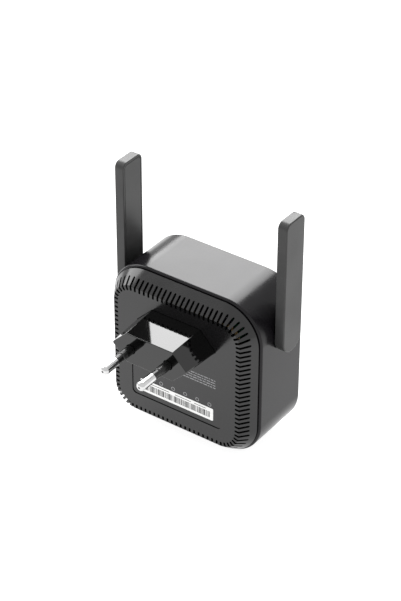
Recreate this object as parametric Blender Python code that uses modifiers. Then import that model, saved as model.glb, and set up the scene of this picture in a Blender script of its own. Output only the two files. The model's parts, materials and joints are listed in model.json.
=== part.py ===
"""Plug-in WiFi range extender: a square housing with two fold-up paddle antennas and a Europlug.

Metres, +Z up. The origin is the centre of the plug block's end face. The pins point along +Y into
the socket, the front face looks along -Y, and the antennas hinge about X on the side walls.
"""

import math

import bmesh
import bpy
from mathutils import Matrix, Vector
from mathutils.geometry import interpolate_bezier

# ---- Driving dimensions -------------------------------------------------------------------------
BODY_WIDTH = 0.0730
BODY_HEIGHT = 0.0734
BODY_CORNER = 0.0175
PLUG_BELOW_TOP = 0.0214  # plug centre below the body's top face
HOUSING_DEPTH = 0.0292  # seam to front face
FRONT_FILLET = 0.0010
SEAM_STEP = 0.00095  # the back cover's edge lies this far inside the housing's sides
WALL = 0.0018
SEAM_GAP = 0.00045
FIT = 0.0003  # gap between pieces that seat on each other

RIM_DEPTH = 0.0066  # back panel to seam
RIM_INSET_X = 0.0044  # how far the back panel's crease lies inside the cover's edge
RIM_INSET_Z = 0.00525
CREASE_CORNER = 0.0098
CREASE_FILLET = 0.0008
COVER_EDGE = 0.0003
TONGUE_DEPTH = 0.0020
TONGUE_WALL = 0.0010

SLOT_PITCH = 0.0022
SLOT_WIDTH = 0.00098
SLOT_INNER = 0.0023  # leg of a vent slot on the flat panel
SLOT_OUTER = 0.0026  # leg of a vent slot down the rim, measured square to the plug axis

RECESS_SIDE_MARGIN = 0.00885  # crease to the label recess
RECESS_FOOT_MARGIN = 0.00825
RECESS_BELOW_PLUG = 0.0034  # plug block's foot to the recess
RECESS_DEPTH = 0.00035
RECESS_CORNER = 0.0020
LABEL_MARGIN = 0.0027  # sticker inside the recess, below and beside it
LABEL_SIDE_MARGIN = 0.0041
LABEL_HEIGHT = 0.0060
LABEL_THICKNESS = 0.00012

PLUG_REACH = 0.0179  # plug face to back panel
PLUG_WIDTH = 0.0359
PLUG_HEIGHT = 0.0138
PLUG_TOP_FLAT = 0.0226
PLUG_TIP_FLAT = 0.0006  # the blunt end of the plug outline's side points
PLUG_EDGE = 0.0003
PLUG_DRAFT = 0.0009  # growth of each half size from the plug face to the back panel
PLUG_FACE = 0.0030
PLUG_WALL = 0.0018
PLUG_FLANGE = 0.0016
PLUG_FLANGE_THICKNESS = 0.0013
PLUG_FIT = 0.00015

PIN_SPACING = 0.0186
PIN_TIP_SPACING = 0.0177
PIN_LENGTH = 0.0185
PIN_RADIUS = 0.0020
PIN_CORE_RADIUS = 0.00145
PIN_TAIL = 0.0080  # pin behind the plug face
SLEEVE_LENGTH = 0.0100
SLEEVE_NECK = 0.0032  # thinner stretch of the sleeve next to the metal
SLEEVE_NECK_RADIUS = 0.00175
SLEEVE_GAP = 0.0001

ANTENNA_LENGTH = 0.0613
ANTENNA_WIDTH = 0.0126
ANTENNA_THICKNESS = 0.0044
ANTENNA_STANDOFF = 0.0003  # side wall to antenna
ANTENNA_WALL = 0.0010
ANTENNA_COVER = 0.0008
ANTENNA_CORNER = 0.0028
HINGE_BELOW_TOP = 0.0177  # hinge axis below the body's top face
HINGE_FROM_FRONT = 0.0141  # hinge axis behind the front face
WASHER_RIM = 0.0008  # the friction washer's edge inside the antenna's round end
WASHER_GAP = 0.0001
WASHER_SEAT = 0.0008  # depth of the washer's round seat in the side wall
PIVOT_RADIUS = 0.0028
PIVOT_BORE = 0.0012
PIVOT_REACH = 0.0032  # pivot end behind the side wall's inner face
PIVOT_FLANGE_THICKNESS = 0.0012
PIVOT_CLEARANCE = 0.0003
CLIP_THICKNESS = 0.0005
CLIP_RADIUS = 0.0040
HINGE_PAD = 0.0006  # raised seat inside the side wall for the hinge spring
HINGE_PAD_RADIUS = 0.0052
GROOVE_DEPTH = 0.0005
RADIATOR_THICKNESS = 0.0006
COAX_RADIUS = 0.0006

BOARD = 0.0016
MAINS_BOARD_MARGIN = 0.0044  # crease to mains board
MAINS_BOARD_CORNER = 0.0060
MAINS_BOARD_GAP = 0.0013  # plug block's flange to mains board
MAINS_POST_INSET = 0.00325
CHOKE_RADIUS = 0.0034
MAIN_BOARD_MARGIN = 0.0035  # inner wall to main board
MAIN_BOARD_CORNER = 0.0080
MAIN_BOARD_STANDOFF = 0.0058  # front wall to main board
SHIELD_HEIGHT = 0.0026
SHIELD_WALL = 0.0004
SPREADER = 0.0010
RADIO_STACK = SHIELD_HEIGHT + SPREADER + 4 * FIT  # main board to the top of its heat spreader
POST_RADIUS = 0.0025
POST_INSET = 0.0065  # post centre inside the main board's edge
PILOT_RADIUS = 0.0010
SCREW_RADIUS = 0.0008
SCREW_HEAD_RADIUS = 0.0019
SCREW_HEAD = 0.0013
SCREW_LENGTH = 0.0050

WINDOW_RADIUS = 0.0016
WINDOW_RISE = 0.0085  # light window above the body's underside
BUTTON_RADIUS = 0.0014
BUTTON_TRAVEL = 0.0005
BUTTON_FLANGE = 0.0023
BUTTON_FLANGE_THICKNESS = 0.0009
BUTTON_RECESS = 0.0004
BUTTON_CLEARANCE = 0.00025
BUTTON_X = 0.0140
SWITCH_SIZE = (0.0047, 0.0019, 0.0030)
SWITCH_OVERHANG = 0.0012  # reset switch below the main board's lower edge

ROUND_STEPS = 24
CORNER_STEPS = 7

# ---- Derived places -----------------------------------------------------------------------------
HALF_WIDTH = BODY_WIDTH / 2
HALF_HEIGHT = BODY_HEIGHT / 2
CENTRE_Z = PLUG_BELOW_TOP - HALF_HEIGHT
CREASE_INSET_X = SEAM_STEP + RIM_INSET_X
CREASE_INSET_Z = SEAM_STEP + RIM_INSET_Z
CREASE_X = HALF_WIDTH - CREASE_INSET_X
CREASE_Z = HALF_HEIGHT - CREASE_INSET_Z
BOTTOM_Z = CENTRE_Z - HALF_HEIGHT
PANEL_Y = -PLUG_REACH
SEAM_Y = PANEL_Y - RIM_DEPTH
HOUSING_Y = SEAM_Y - SEAM_GAP
FRONT_Y = SEAM_Y - HOUSING_DEPTH
FRONT_INNER_Y = FRONT_Y + WALL
HINGE_Y = FRONT_Y + HINGE_FROM_FRONT
HINGE_Z = PLUG_BELOW_TOP - HINGE_BELOW_TOP
ANTENNA_INNER_X = HALF_WIDTH + ANTENNA_STANDOFF
CAVITY_DEPTH = ANTENNA_THICKNESS - ANTENNA_WALL
PIVOT_FLANGE = ANTENNA_WIDTH / 2 - ANTENNA_WALL - 2 * FIT
WASHER_RADIUS = ANTENNA_WIDTH / 2 - WASHER_RIM
MAINS_BOARD_WIDTH = 2 * (CREASE_X - MAINS_BOARD_MARGIN)
MAINS_BOARD_HEIGHT = 2 * (CREASE_Z - MAINS_BOARD_MARGIN)
POWER_ROW_Z = 0.0065 - MAINS_BOARD_HEIGHT / 2  # lowest row of power parts, from the body's centre
MAIN_BOARD_WIDTH = 2 * (HALF_WIDTH - WALL - MAIN_BOARD_MARGIN)
MAIN_BOARD_HEIGHT = 2 * (HALF_HEIGHT - WALL - MAIN_BOARD_MARGIN)
FLANGE_Y = PANEL_Y - WALL - PLUG_FIT
MAINS_BOARD_Y = FLANGE_Y - PLUG_FLANGE_THICKNESS - MAINS_BOARD_GAP
MAINS_FACE_Y = MAINS_BOARD_Y - BOARD  # the side that carries the power parts
MAIN_FACE_Y = FRONT_INNER_Y + MAIN_BOARD_STANDOFF + BOARD  # the side that carries the radio parts
MAIN_REAR_Y = MAIN_FACE_Y - BOARD
POWER_ROOM = MAINS_FACE_Y - MAIN_FACE_Y - RADIO_STACK  # height free for the power parts
MAINS_POSTS = [
    (
        sx * (MAINS_BOARD_WIDTH / 2 - MAINS_POST_INSET),
        sz * (MAINS_BOARD_HEIGHT / 2 - MAINS_POST_INSET),
    )
    for sx in (-1, 1)
    for sz in (-1, 1)
]
MAIN_POSTS = [
    (sx * (MAIN_BOARD_WIDTH / 2 - POST_INSET), sz * (MAIN_BOARD_HEIGHT / 2 - POST_INSET))
    for sx in (-1, 1)
    for sz in (-1, 1)
]
BUTTON_Y = MAIN_REAR_Y - FIT - SWITCH_SIZE[1] / 2
SWITCH_BOTTOM_Z = CENTRE_Z - MAIN_BOARD_HEIGHT / 2 - SWITCH_OVERHANG

# Local +X, +Y and +Z of a flat piece, for a piece whose thickness runs along X, Y or Z.
ALONG_X = Matrix(((0, 0, 1), (1, 0, 0), (0, 1, 0))).to_4x4()
ALONG_Y = Matrix(((-1, 0, 0), (0, 0, 1), (0, 1, 0))).to_4x4()
ALONG_Z = Matrix.Identity(4)


# ---- Scene, materials and helpers ---------------------------------------------------------------
def clear_scene():
    for obj in list(bpy.data.objects):
        bpy.data.objects.remove(obj, do_unlink=True)


def new_collection(name):
    collection = bpy.data.collections.new(name)
    bpy.context.scene.collection.children.link(collection)
    return collection


def material(name, colour, roughness, metallic=0.0, alpha=1.0):
    made = bpy.data.materials.new(name)
    made.use_nodes = True
    shader = made.node_tree.nodes["Principled BSDF"]
    shader.inputs["Base Color"].default_value = (*colour, 1.0)
    shader.inputs["Roughness"].default_value = roughness
    shader.inputs["Metallic"].default_value = metallic
    shader.inputs["Alpha"].default_value = alpha
    return made


def add_object(name, mesh, look=None):
    """A piece, or with no look a cutter or other helper."""
    obj = bpy.data.objects.new(name, mesh)
    if look is None:
        HELPERS.objects.link(obj)
        obj.hide_render = True
        obj.display_type = "WIRE"
    else:
        PIECES.objects.link(obj)
        mesh.materials.append(LOOKS[look])
    return obj


def finish_mesh(name, bm, look):
    bmesh.ops.recalc_face_normals(bm, faces=bm.faces)
    if bm.calc_volume(signed=True) < 0:
        bmesh.ops.reverse_faces(bm, faces=bm.faces)
    mesh = bpy.data.meshes.new(name)
    bm.to_mesh(mesh)
    bm.free()
    return add_object(name, mesh, look)


def arc(centre, radius, start, end, steps):
    """Points of an arc from start to end degrees, both ends included."""
    angles = (math.radians(start + (end - start) * i / steps) for i in range(steps + 1))
    return [(centre[0] + radius * math.cos(a), centre[1] + radius * math.sin(a)) for a in angles]


def rounded_rectangle(width, height, corner, steps=CORNER_STEPS):
    """Outline about the origin, counter-clockwise from the start of the upper right corner."""
    x, z = width / 2 - corner, height / 2 - corner
    corners = ((x, z, 0), (-x, z, 90), (-x, -z, 180), (x, -z, 270))
    return [p for cx, cz, a in corners for p in arc((cx, cz), corner, a, a + 90, steps)]


def slab(name, outline, low, high, frame, look=None, centre=(0, 0)):
    """A flat outline made thick, from low to high along the frame's third axis."""
    bm = bmesh.new()
    face = bm.faces.new([bm.verts.new((a + centre[0], b + centre[1], low)) for a, b in outline])
    top = bmesh.ops.extrude_face_region(bm, geom=[face])["geom"]
    moved = [v for v in top if isinstance(v, bmesh.types.BMVert)]
    bmesh.ops.translate(bm, verts=moved, vec=(0, 0, high - low))
    bmesh.ops.transform(bm, matrix=frame, verts=bm.verts)
    return finish_mesh(name, bm, look)


def block(name, size, centre, look=None):
    bm = bmesh.new()
    bmesh.ops.create_cube(bm, size=1)
    bmesh.ops.scale(bm, vec=size, verts=bm.verts)
    bmesh.ops.translate(bm, vec=centre, verts=bm.verts)
    return finish_mesh(name, bm, look)


def loft(name, rings, look=None):
    """A closed skin through rings of equally many points (x, y, z), capped at both ends."""
    bm = bmesh.new()
    loops = [[bm.verts.new(p) for p in ring] for ring in rings]
    count = len(loops[0])
    for near, far in zip(loops, loops[1:]):
        for i in range(count):
            j = (i + 1) % count
            bm.faces.new((near[i], near[j], far[j], far[i]))
    bm.faces.new(loops[0])
    bm.faces.new(loops[-1])
    return finish_mesh(name, bm, look)


def turned(name, profile, frame, look=None, ring=False, steps=ROUND_STEPS):
    """A profile of (radius, height) turned about the frame's third axis.

    A solid's profile runs from the axis down the outer side and back to the axis. A ring's
    profile is closed, down its outer side and up its inner side.
    """
    bm = bmesh.new()
    verts = [bm.verts.new((radius, 0, height)) for radius, height in profile]
    pairs = list(zip(verts, verts[1:]))
    if ring:
        pairs.append((verts[-1], verts[0]))
    for pair in pairs:
        bm.edges.new(pair)
    mesh = bpy.data.meshes.new(name)
    bm.to_mesh(mesh)
    bm.free()
    obj = add_object(name, mesh, look)
    obj.matrix_world = frame
    screw = obj.modifiers.new("turn", "SCREW")
    screw.steps = steps
    screw.render_steps = steps
    screw.use_merge_vertices = True
    screw.merge_threshold = 0.000001
    return obj


def cylinder(name, radius, low, high, frame, look=None, steps=ROUND_STEPS):
    return turned(name, [(0, high), (radius, high), (radius, low), (0, low)], frame, look, steps=steps)


def washer(name, outer, inner, low, high, frame, look=None):
    profile = [(outer, high), (outer, low), (inner, low), (inner, high)]
    return turned(name, profile, frame, look, ring=True)


def frame_at(x, y, z, frame):
    return Matrix.Translation((x, y, z)) @ frame


def boolean(obj, other, operation="DIFFERENCE", solver="EXACT"):
    modifier = obj.modifiers.new(other.name, "BOOLEAN")
    modifier.solver = solver
    modifier.operation = operation
    modifier.object = other


def merged(name, parts):
    """One helper mesh from several helpers that don't touch each other."""
    graph = bpy.context.evaluated_depsgraph_get()
    bm = bmesh.new()
    for part in parts:
        mesh = bpy.data.meshes.new_from_object(part.evaluated_get(graph))
        mesh.transform(part.matrix_world)
        bm.from_mesh(mesh)
        bpy.data.objects.remove(part, do_unlink=True)
    mesh = bpy.data.meshes.new(name)
    bm.to_mesh(mesh)
    bm.free()
    return add_object(name, mesh)


def smooth(obj, angle=35):
    obj.data.shade_smooth()
    obj.data.set_sharp_from_angle(angle=math.radians(angle))


# ---- Housing and back cover ---------------------------------------------------------------------
def body_ring(inset_x, inset_z, corner, y):
    """The body's outline drawn in by the insets, at depth y."""
    outline = rounded_rectangle(BODY_WIDTH - 2 * inset_x, BODY_HEIGHT - 2 * inset_z, corner)
    return [(x, y, CENTRE_Z + z) for x, z in outline]


def post_helpers(name, places, low, high, radius):
    posts = [
        cylinder(f"{name}_{i}", radius, low, high, frame_at(x, 0, CENTRE_Z + z, ALONG_Y), steps=12)
        for i, (x, z) in enumerate(places)
    ]
    return merged(name, posts)


def make_front_housing():
    """An open box: outer skin from the seam round the front edge, then the inner skin back out."""
    outer = []
    for reach, rise in arc((0, 0), SEAM_STEP, 90, 0, 3):
        inset = SEAM_STEP - reach
        outer.append(body_ring(inset, inset, BODY_CORNER - inset, HOUSING_Y - SEAM_STEP + rise))
    for reach, rise in arc((0, 0), FRONT_FILLET, 0, 90, 3):
        inset = FRONT_FILLET - reach
        outer.append(body_ring(inset, inset, BODY_CORNER - inset, FRONT_Y + FRONT_FILLET - rise))
    inner = [body_ring(WALL, WALL, BODY_CORNER - WALL, y) for y in (HOUSING_Y, FRONT_INNER_Y)]
    housing = loft("front_housing", outer[::-1] + inner, "housing_plastic")
    posts = post_helpers(
        "housing_posts", MAIN_POSTS, FRONT_INNER_Y - WALL / 2, MAIN_REAR_Y - FIT, POST_RADIUS
    )
    boolean(housing, posts, "UNION")
    pilots = post_helpers(
        "housing_pilots", MAIN_POSTS, FRONT_INNER_Y, MAIN_REAR_Y + FIT, PILOT_RADIUS
    )
    boolean(housing, pilots)
    window = cylinder(
        "window_hole",
        WINDOW_RADIUS + FIT,
        FRONT_Y - WALL,
        FRONT_INNER_Y + WALL,
        frame_at(0, 0, BOTTOM_Z + WINDOW_RISE, ALONG_Y),
    )
    boolean(housing, window)
    button_hole = cylinder(
        "button_hole",
        BUTTON_RADIUS + BUTTON_CLEARANCE,
        BOTTOM_Z - WALL,
        BOTTOM_Z + 2 * WALL,
        frame_at(BUTTON_X, BUTTON_Y, 0, ALONG_Z),
    )
    boolean(housing, button_hole)
    add_hinge_seats(housing)
    smooth(housing)


def add_hinge_seats(housing):
    """In each side wall: seats for the spring inside and the washer outside, and the pivot's hole."""
    seat = HALF_WIDTH - WALL - HINGE_PAD
    deep = seat - PIVOT_REACH - WALL
    for side, word in ((-1, "left"), (1, "right")):
        place = frame_at(0, HINGE_Y, HINGE_Z, out_frame(side))
        pad = cylinder(f"{word}_hinge_pad", HINGE_PAD_RADIUS, seat, seat + HINGE_PAD + WALL / 2, place)
        boolean(housing, pad, "UNION")
        room = cylinder(f"{word}_hinge_room", CLIP_RADIUS + FIT, deep, seat, place)
        boolean(housing, room)
        floor = HALF_WIDTH - WASHER_SEAT
        boolean(housing, cylinder(f"{word}_washer_seat", WASHER_RADIUS + FIT, floor, BODY_WIDTH, place))
    reach = BODY_WIDTH
    place = frame_at(0, HINGE_Y, HINGE_Z, ALONG_X)
    boolean(housing, cylinder("pivot_holes", PIVOT_RADIUS + PIVOT_CLEARANCE, -reach, reach, place))


def slot_stations():
    """Where the vent slots cross the crease: (x, z, outward angle), evenly pitched on each stretch."""
    straight_x = CREASE_X - CREASE_CORNER
    straight_z = CREASE_Z - CREASE_CORNER
    stations = []
    for side, (reach, straight) in enumerate(((CREASE_X, straight_z), (CREASE_Z, straight_x)) * 2):
        turn = math.radians(90 * side)
        count = round(2 * straight / SLOT_PITCH)
        along = [straight * (2 * (i + 0.5) / count - 1) for i in range(count)]
        local = [(reach, a, 0.0) for a in along]
        steps = round(CREASE_CORNER * math.pi / 2 / SLOT_PITCH)
        for i in range(steps):
            angle = math.pi / 2 * (i + 0.5) / steps
            local.append(
                (
                    reach - CREASE_CORNER + CREASE_CORNER * math.cos(angle),
                    straight + CREASE_CORNER * math.sin(angle),
                    angle,
                )
            )
        for a, b, angle in local:
            x = a * math.cos(turn) - b * math.sin(turn)
            z = a * math.sin(turn) + b * math.cos(turn)
            stations.append((x, z, angle + turn))
    return stations


def slot_cutter():
    """All the vent slots as one helper: a bar across the crease at each station."""
    length = SLOT_INNER + SLOT_OUTER
    middle = (SLOT_OUTER - SLOT_INNER) / 2
    top = PANEL_Y + WALL
    floor = PANEL_Y - RIM_DEPTH * SLOT_OUTER / RIM_INSET_X - WALL / 2
    bm = bmesh.new()
    for x, z, angle in slot_stations():
        bar = bmesh.ops.create_cube(bm, size=1)["verts"]
        place = Matrix.Translation((x, 0, CENTRE_Z + z)) @ Matrix.Rotation(-angle, 4, "Y")
        shape = Matrix.Translation((middle, (top + floor) / 2, 0)) @ Matrix.Diagonal(
            (length, top - floor, SLOT_WIDTH, 1)
        )
        bmesh.ops.transform(bm, matrix=place @ shape, verts=bar)
    return finish_mesh("vent_slots", bm, None)


def plug_ring(y, grow=0.0):
    """The plug block's eight-point outline at depth y: a flattened hexagon with blunt side points."""
    grow += PLUG_DRAFT * -y / PLUG_REACH
    quarter = [
        (PLUG_WIDTH / 2 + grow * math.sqrt(2), PLUG_TIP_FLAT / 2),
        (PLUG_TOP_FLAT / 2 + grow * (math.sqrt(2) - 1), PLUG_HEIGHT / 2 + grow),
    ]
    half = quarter + [(-x, z) for x, z in quarter[::-1]]
    return [(x, y, z) for x, z in half + [(-x, -z) for x, z in half]]


def recess_span():
    """Bottom and top of the label recess, between the crease and the plug block's foot."""
    low = CENTRE_Z - CREASE_Z + RECESS_FOOT_MARGIN
    return low, -PLUG_HEIGHT / 2 - PLUG_DRAFT - RECESS_BELOW_PLUG


def make_back_cover():
    """The tray behind the seam: flat panel, flared rim, and a tongue that enters the housing."""
    arc_points = arc((0, 0), CREASE_FILLET, 90, 30, 2)
    rings = []
    for reach, rise in arc_points:
        inset = CREASE_FILLET * math.cos(math.radians(30)) - reach
        rings.append(
            body_ring(
                CREASE_INSET_X + inset,
                CREASE_INSET_Z + inset,
                CREASE_CORNER - inset,
                PANEL_Y - CREASE_FILLET + rise,
            )
        )
    tongue = WALL + FIT
    edge = SEAM_STEP
    rings.append(body_ring(edge, edge, BODY_CORNER - edge, SEAM_Y + COVER_EDGE))
    edge += COVER_EDGE
    rings.append(body_ring(edge, edge, BODY_CORNER - edge, SEAM_Y))
    rings.append(body_ring(tongue, tongue, BODY_CORNER - tongue, SEAM_Y))
    rings.append(body_ring(tongue, tongue, BODY_CORNER - tongue, SEAM_Y - TONGUE_DEPTH))
    tongue += TONGUE_WALL
    rings.append(body_ring(tongue, tongue, BODY_CORNER - tongue, SEAM_Y - TONGUE_DEPTH))
    rings.append(body_ring(tongue, tongue, BODY_CORNER - tongue, SEAM_Y + TONGUE_WALL))
    rings.append(
        body_ring(
            CREASE_INSET_X + WALL / 2,
            CREASE_INSET_Z + WALL / 2,
            CREASE_CORNER - WALL / 2,
            PANEL_Y - WALL,
        )
    )
    cover = loft("back_cover", rings, "cover_plastic")
    posts = post_helpers(
        "cover_posts", MAINS_POSTS, MAINS_BOARD_Y + FIT, PANEL_Y - WALL / 2, POST_RADIUS
    )
    boolean(cover, posts, "UNION")
    pilots = post_helpers(
        "cover_pilots", MAINS_POSTS, MAINS_BOARD_Y, PANEL_Y - WALL / 2, PILOT_RADIUS
    )
    boolean(cover, pilots)
    boolean(cover, slot_cutter(), solver="MANIFOLD")
    opening = [plug_ring(y, PLUG_FIT) for y in (PANEL_Y + WALL, FLANGE_Y - WALL)]
    boolean(cover, loft("plug_opening", opening))
    low, high = recess_span()
    recess = slab(
        "label_recess",
        rounded_rectangle(2 * (CREASE_X - RECESS_SIDE_MARGIN), high - low, RECESS_CORNER, 3),
        PANEL_Y - RECESS_DEPTH,
        PANEL_Y + WALL,
        ALONG_Y,
        centre=(0, (low + high) / 2),
    )
    boolean(cover, recess)
    smooth(cover)


def make_barcode_label():
    floor = PANEL_Y - RECESS_DEPTH + 0.00004
    width = 2 * (CREASE_X - RECESS_SIDE_MARGIN - LABEL_SIDE_MARGIN)
    slab(
        "barcode_label",
        rounded_rectangle(width, LABEL_HEIGHT, 0.0004, 2),
        floor,
        floor + LABEL_THICKNESS,
        ALONG_Y,
        "paper_label",
        centre=(0, recess_span()[0] + LABEL_MARGIN + LABEL_HEIGHT / 2),
    )


# ---- Plug ---------------------------------------------------------------------------------------
def pin_frame(side):
    """Third axis along the pin, which leans in towards its neighbour, from the plug face outward."""
    lean = math.atan((PIN_SPACING - PIN_TIP_SPACING) / 2 / PIN_LENGTH)
    turn = Matrix.Rotation(side * lean, 4, "Z") @ ALONG_Y
    return frame_at(side * PIN_SPACING / 2, 0, 0, turn)


def make_plug_block():
    foot = FLANGE_Y - PLUG_FLANGE_THICKNESS
    rings = [plug_ring(0, -PLUG_EDGE), plug_ring(-PLUG_EDGE), plug_ring(FLANGE_Y)]
    rings += [plug_ring(FLANGE_Y, PLUG_FLANGE), plug_ring(foot, PLUG_FLANGE)]
    rings += [plug_ring(foot, -PLUG_WALL), plug_ring(-PLUG_FACE, -PLUG_WALL)]
    plug = loft("plug_block", rings, "plug_plastic")
    holes = [
        cylinder(f"pin_hole_{side}", PIN_RADIUS + FIT, -2 * PLUG_FACE, PLUG_FACE, pin_frame(side))
        for side in (-1, 1)
    ]
    boolean(plug, merged("pin_holes", holes))


def make_pin(side, word):
    """A rounded nickel-plated end, then a thinner core through the sleeve to the contact."""
    nose = PIN_LENGTH - PIN_RADIUS * 0.8
    profile = [
        (PIN_RADIUS * math.sin(math.radians(a)), nose + PIN_RADIUS * 0.8 * math.cos(math.radians(a)))
        for a in (0, 30, 55, 75, 90)
    ]
    profile += [(PIN_RADIUS, SLEEVE_LENGTH), (PIN_CORE_RADIUS, SLEEVE_LENGTH)]
    profile += [(PIN_CORE_RADIUS, -PIN_TAIL), (0, -PIN_TAIL)]
    pin = turned(f"{word}_pin", profile, pin_frame(side), "nickel")
    smooth(pin)
    bore = PIN_CORE_RADIUS + SLEEVE_GAP
    top = SLEEVE_LENGTH - SLEEVE_GAP
    neck = top - SLEEVE_NECK
    profile = [(SLEEVE_NECK_RADIUS, top), (SLEEVE_NECK_RADIUS, neck), (PIN_RADIUS, neck - 0.0003)]
    profile += [(PIN_RADIUS, -PLUG_FACE - 0.001), (bore, -PLUG_FACE - 0.001), (bore, top)]
    sleeve = turned(f"{word}_pin_sleeve", profile, pin_frame(side), "sleeve_plastic", ring=True)
    smooth(sleeve)


def make_mains_contact(side, word):
    """A bent leaf from the pin's tail down to the mains board."""
    x = PIN_SPACING / 2
    thickness = 0.0005
    top = -PIN_TAIL - FIT
    bottom = MAINS_BOARD_Y + FIT
    outline = [
        (x - 0.0016, top),
        (x - 0.0016, bottom + thickness),
        (x - 0.0042, bottom + thickness),
        (x - 0.0042, bottom),
        (x - 0.0016 + thickness, bottom),
        (x - 0.0016 + thickness, top - thickness),
        (x + 0.0018, top - thickness),
        (x + 0.0018, top),
    ]
    outline = [(side * a, b) for a, b in outline]
    slab(f"{word}_mains_contact", outline, -0.0018, 0.0018, ALONG_Z, "copper")


# ---- Power supply -------------------------------------------------------------------------------
def board_with_holes(name, width, height, corner, low, posts, look):
    outline = rounded_rectangle(width, height, corner, 4)
    board = slab(name, outline, low, low + BOARD, ALONG_Y, look, centre=(0, CENTRE_Z))
    holes = post_helpers(f"{name}_holes", posts, low - FIT, low + BOARD + FIT, PILOT_RADIUS)
    boolean(board, holes)


def power_part(name, size, x, z, look, lift=FIT):
    """A box on the mains board: size is (width, height along the board, how far it stands off)."""
    wide, tall, deep = size
    centre = (x, MAINS_FACE_Y - lift - deep / 2, CENTRE_Z + z)
    return block(name, (wide, deep, tall), centre, look)


def standing_can(name, radius, headroom, x, z, look):
    """A radial capacitor as tall as leaves this headroom: a rolled groove and a rounded top edge."""
    height = POWER_ROOM - headroom
    edge = 0.0006
    profile = [(0, -height), (radius - edge, -height), (radius, -height + edge)]
    profile += [(radius, -0.0028), (radius - 0.0004, -0.0022), (radius, -0.0016)]
    profile += [(radius, 0), (0, 0)]
    frame = frame_at(x, MAINS_FACE_Y - FIT, CENTRE_Z + z, ALONG_Y)
    smooth(turned(name, profile[::-1], frame, look, steps=20))


def make_transformer():
    """An E-core frame round a wound bobbin on its middle leg."""
    wide, tall, leg, window = 0.0170, 0.0140, 0.0035, 0.0032
    x, lift, cheek = 0.0115, 0.0010, 0.0025
    z = POWER_ROW_Z + CHOKE_RADIUS + 0.0012 + tall / 2
    winding = POWER_ROOM - 0.0036 - lift
    deep = winding - 2 * cheek
    core = power_part("transformer_core", (wide, tall, deep), x, z, "ferrite", lift + cheek)
    y = MAINS_FACE_Y - lift - cheek - deep / 2
    size = (window, deep * 2, tall - 2 * leg)
    shift = leg / 2 + window / 2
    windows = [
        block(f"core_window_{i}", size, (x + i * shift, y, CENTRE_Z + z)) for i in (-1, 1)
    ]
    boolean(core, merged("core_windows", windows))
    around = (leg + 2 * window - 2 * FIT, tall - 2 * leg - 2 * FIT, winding)
    coil = power_part("transformer_winding", around, x, z, "tape", lift)
    size = (leg + 2 * FIT, deep + 2 * FIT, tall)
    passage = block("winding_passage", size, (x, y, CENTRE_Z + z))
    boolean(coil, passage)


def make_power_supply():
    board_with_holes(
        "mains_board",
        MAINS_BOARD_WIDTH,
        MAINS_BOARD_HEIGHT,
        MAINS_BOARD_CORNER,
        MAINS_FACE_Y,
        MAINS_POSTS,
        "mains_fibre",
    )
    make_transformer()
    side = MAINS_BOARD_WIDTH / 2
    foot = -MAINS_BOARD_HEIGHT / 2
    row = POWER_ROW_Z
    standing_can("input_capacitor", 0.0048, 0.0008, 0.0135 - side, 0.0005, "capacitor_sleeve")
    standing_can("output_capacitor", 0.0032, 0.0048, side - 0.0090, row, "capacitor_sleeve")
    standing_can("choke", CHOKE_RADIUS, 0.0078, 0.0075, row, "ferrite")
    power_part("bridge_rectifier", (0.0065, 0.0060, 0.0026), 0.0090 - side, 0.0105, "chip")
    power_part("power_controller", (0.0050, 0.0040, 0.0016), -0.0030, -0.0050, "chip")
    power_part("safety_capacitor", (0.0035, 0.0080, 0.0085), -0.0035, 0.0100, "blue_epoxy")
    fuse = frame_at(0.0120 - side, MAINS_FACE_Y - 0.0022, CENTRE_Z - 0.0100, ALONG_X)
    cylinder("fuse", 0.0017, -0.0040, 0.0040, fuse, "fuse_body", steps=16)
    length = MAINS_FACE_Y - MAIN_FACE_Y - 2 * FIT
    power_part("board_header", (0.0120, 0.0028, length), -0.0065, foot + 0.0025, "chip")


# ---- Radio board --------------------------------------------------------------------------------
def radio_part(name, size, x, z, look, lift=FIT):
    """A box on the back of the main board."""
    wide, tall, deep = size
    centre = (x, MAIN_FACE_Y + lift + deep / 2, CENTRE_Z + z)
    return block(name, (wide, deep, tall), centre, look)


def make_radio_board():
    board_with_holes(
        "main_board",
        MAIN_BOARD_WIDTH,
        MAIN_BOARD_HEIGHT,
        MAIN_BOARD_CORNER,
        MAIN_REAR_Y,
        MAIN_POSTS,
        "green_fibre",
    )
    x, z = 0.0020, 0.0060
    wide, tall, chip = 0.0240, 0.0220, 0.0009
    shield = radio_part("rf_shield", (wide, tall, SHIELD_HEIGHT), x, z, "tinned_steel")
    inside = (wide - 2 * SHIELD_WALL, tall - 2 * SHIELD_WALL, SHIELD_HEIGHT)
    boolean(shield, radio_part("shield_hollow", inside, x, z, None, FIT - SHIELD_WALL))
    radio_part("wifi_chip", (0.0090, 0.0090, chip), x, z, "chip")
    pad_lift = 2 * FIT + chip
    pad = FIT + SHIELD_HEIGHT - SHIELD_WALL - FIT / 2 - pad_lift
    radio_part("thermal_pad", (0.0080, 0.0080, pad), x, z, "pad_rubber", pad_lift)
    lift = SHIELD_HEIGHT + 2 * FIT
    radio_part("heat_spreader", (0.0260, 0.0200, SPREADER), x, z, "aluminium", lift)
    radio_part("memory_chip", (0.0052, 0.0050, 0.0017), -0.0160, -0.0120, "chip")
    led_y = MAIN_REAR_Y - FIT - 0.0004
    block("status_led", (0.0016, 0.0008, 0.0012), (0, led_y, BOTTOM_Z + WINDOW_RISE), "led_resin")
    wide, deep, tall = SWITCH_SIZE
    block(
        "tact_switch", (wide, deep, tall), (BUTTON_X, BUTTON_Y, SWITCH_BOTTOM_Z + tall / 2), "chip"
    )


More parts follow.
